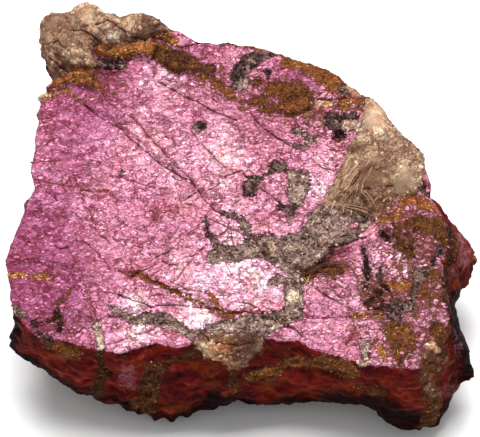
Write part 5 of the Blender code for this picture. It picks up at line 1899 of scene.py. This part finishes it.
def sweep_tree():
    """Geometry Nodes that sweep chains of edges into strands with tapered ends."""
    tree = bpy.data.node_groups.new("Swept strands", "GeometryNodeTree")
    for name, kind in {"Courses": "NodeSocketGeometry", "Thickness": NUMBER,
                       "Sides": "NodeSocketInt", "Finish": "NodeSocketMaterial"}.items():
        tree.interface.new_socket(name, in_out="INPUT", socket_type=kind)
    tree.interface.new_socket("Strands", in_out="OUTPUT", socket_type="NodeSocketGeometry")
    given = tree.nodes.new("NodeGroupInput").outputs
    make = Recipe(tree)
    strand = make.add("GeometryNodeMeshToCurve", {"Mesh": given["Courses"]})
    along = make.add("GeometryNodeSplineParameter", {}, "Factor")
    along = make.math("ABSOLUTE", make.math("MULTIPLY_ADD", along, 2.0, -1.0))
    taper = make.math("SUBTRACT", 1.05, make.math("POWER", along, 3.0))
    width = make.add("GeometryNodeInputNamedAttribute", {"Name": "width"}, data_type="FLOAT")
    radius = make.product(make.product(width, taper), given["Thickness"])
    profile = make.add(
        "GeometryNodeCurvePrimitiveCircle", {"Resolution": given["Sides"], "Radius": 1.0},
        mode="RADIUS")
    solid = make.add(
        "GeometryNodeCurveToMesh",
        {"Curve": strand, "Profile Curve": profile, "Scale": radius, "Fill Caps": True})
    real = make.add("GeometryNodeRealizeInstances", {"Geometry": solid})
    done = make.add(
        "GeometryNodeSetMaterial", {"Geometry": real, "Material": given["Finish"]})
    end = tree.nodes.new("NodeGroupOutput")
    tree.links.new(done, end.inputs[0])
    return tree


fibres = new_object("fibres", fibre_courses())
grown(fibres, sweep_tree(), {
    "Thickness": 0.5, "Sides": 5,
    "Finish": grain_finish("fibres", feldspar_colour, 0.35, 0.45)})
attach(fibres, "root")

# The floor: a plain sheet of pale paper under the stone, wide enough to fill the view. It is
# part of the studio and not of the stone.
FLOOR_REACH = 3.0
FLOOR_DROP = 0.1 * MM
PAPER_TONE = 0.9
PAPER_ROUGHNESS = 0.8
floor_mesh = bpy.data.meshes.new("floor")
quarters = [(-1.0, -1.0), (1.0, -1.0), (1.0, 1.0), (-1.0, 1.0)]
floor_mesh.from_pydata(
    [(FLOOR_REACH * x, FLOOR_REACH * y, -FLOOR_DROP) for x, y in quarters], [], [(0, 1, 2, 3)])
floor = new_object("floor", floor_mesh)
floor_finish = bpy.data.materials.new("pale paper")
floor_finish.use_nodes = True
paper = floor_finish.node_tree.nodes["Principled BSDF"]
paper.inputs["Base Color"].default_value = (PAPER_TONE, PAPER_TONE, PAPER_TONE, 1.0)
paper.inputs["Roughness"].default_value = PAPER_ROUGHNESS
floor_mesh.materials.append(floor_finish)

# Light: one broad soft lamp above and a little behind the stone, and a weak pale sky that
# fills the shadows
LAMP_PLACE = (-0.05, 0.42, 1.0)
LAMP_AIM = (0.0, 0.0, 0.02)
LAMP_SIZE = 0.7
LAMP_POWER = 20.0
SKY_STRENGTH = 0.48
lamp = bpy.data.lights.new("overhead lamp", "AREA")
lamp.shape = "SQUARE"
lamp.size = LAMP_SIZE
lamp.energy = LAMP_POWER
lamp_object = new_object("overhead lamp", lamp)
lamp_object.location = LAMP_PLACE
beam = Vector(LAMP_AIM) - Vector(LAMP_PLACE)
lamp_object.rotation_euler = beam.to_track_quat("-Z", "Y").to_euler()

sky = bpy.data.worlds.new("pale sky")
sky.use_nodes = True
background = sky.node_tree.nodes["Background"]
background.inputs["Color"].default_value = (1.0, 1.0, 1.0, 1.0)
background.inputs["Strength"].default_value = SKY_STRENGTH
bpy.context.scene.world = sky
bpy.context.scene.view_settings.view_transform = "Standard"

# The camera: along the line of sight that the rim was traced by, with the lens that gives a
# pixel the same size on the stone as it has in the picture
SENSOR_WIDTH = 36.0
lens = bpy.data.cameras.new("camera")
lens.sensor_fit = "HORIZONTAL"
lens.sensor_width = SENSOR_WIDTH
lens.lens = SIGHT_PX / PHOTO_WIDTH * SENSOR_WIDTH
camera = new_object("camera", lens)
camera.location = EYE
camera.rotation_euler = (math.pi / 2.0 - VIEW_ELEVATION, 0.0, 0.0)
bpy.context.scene.camera = camera
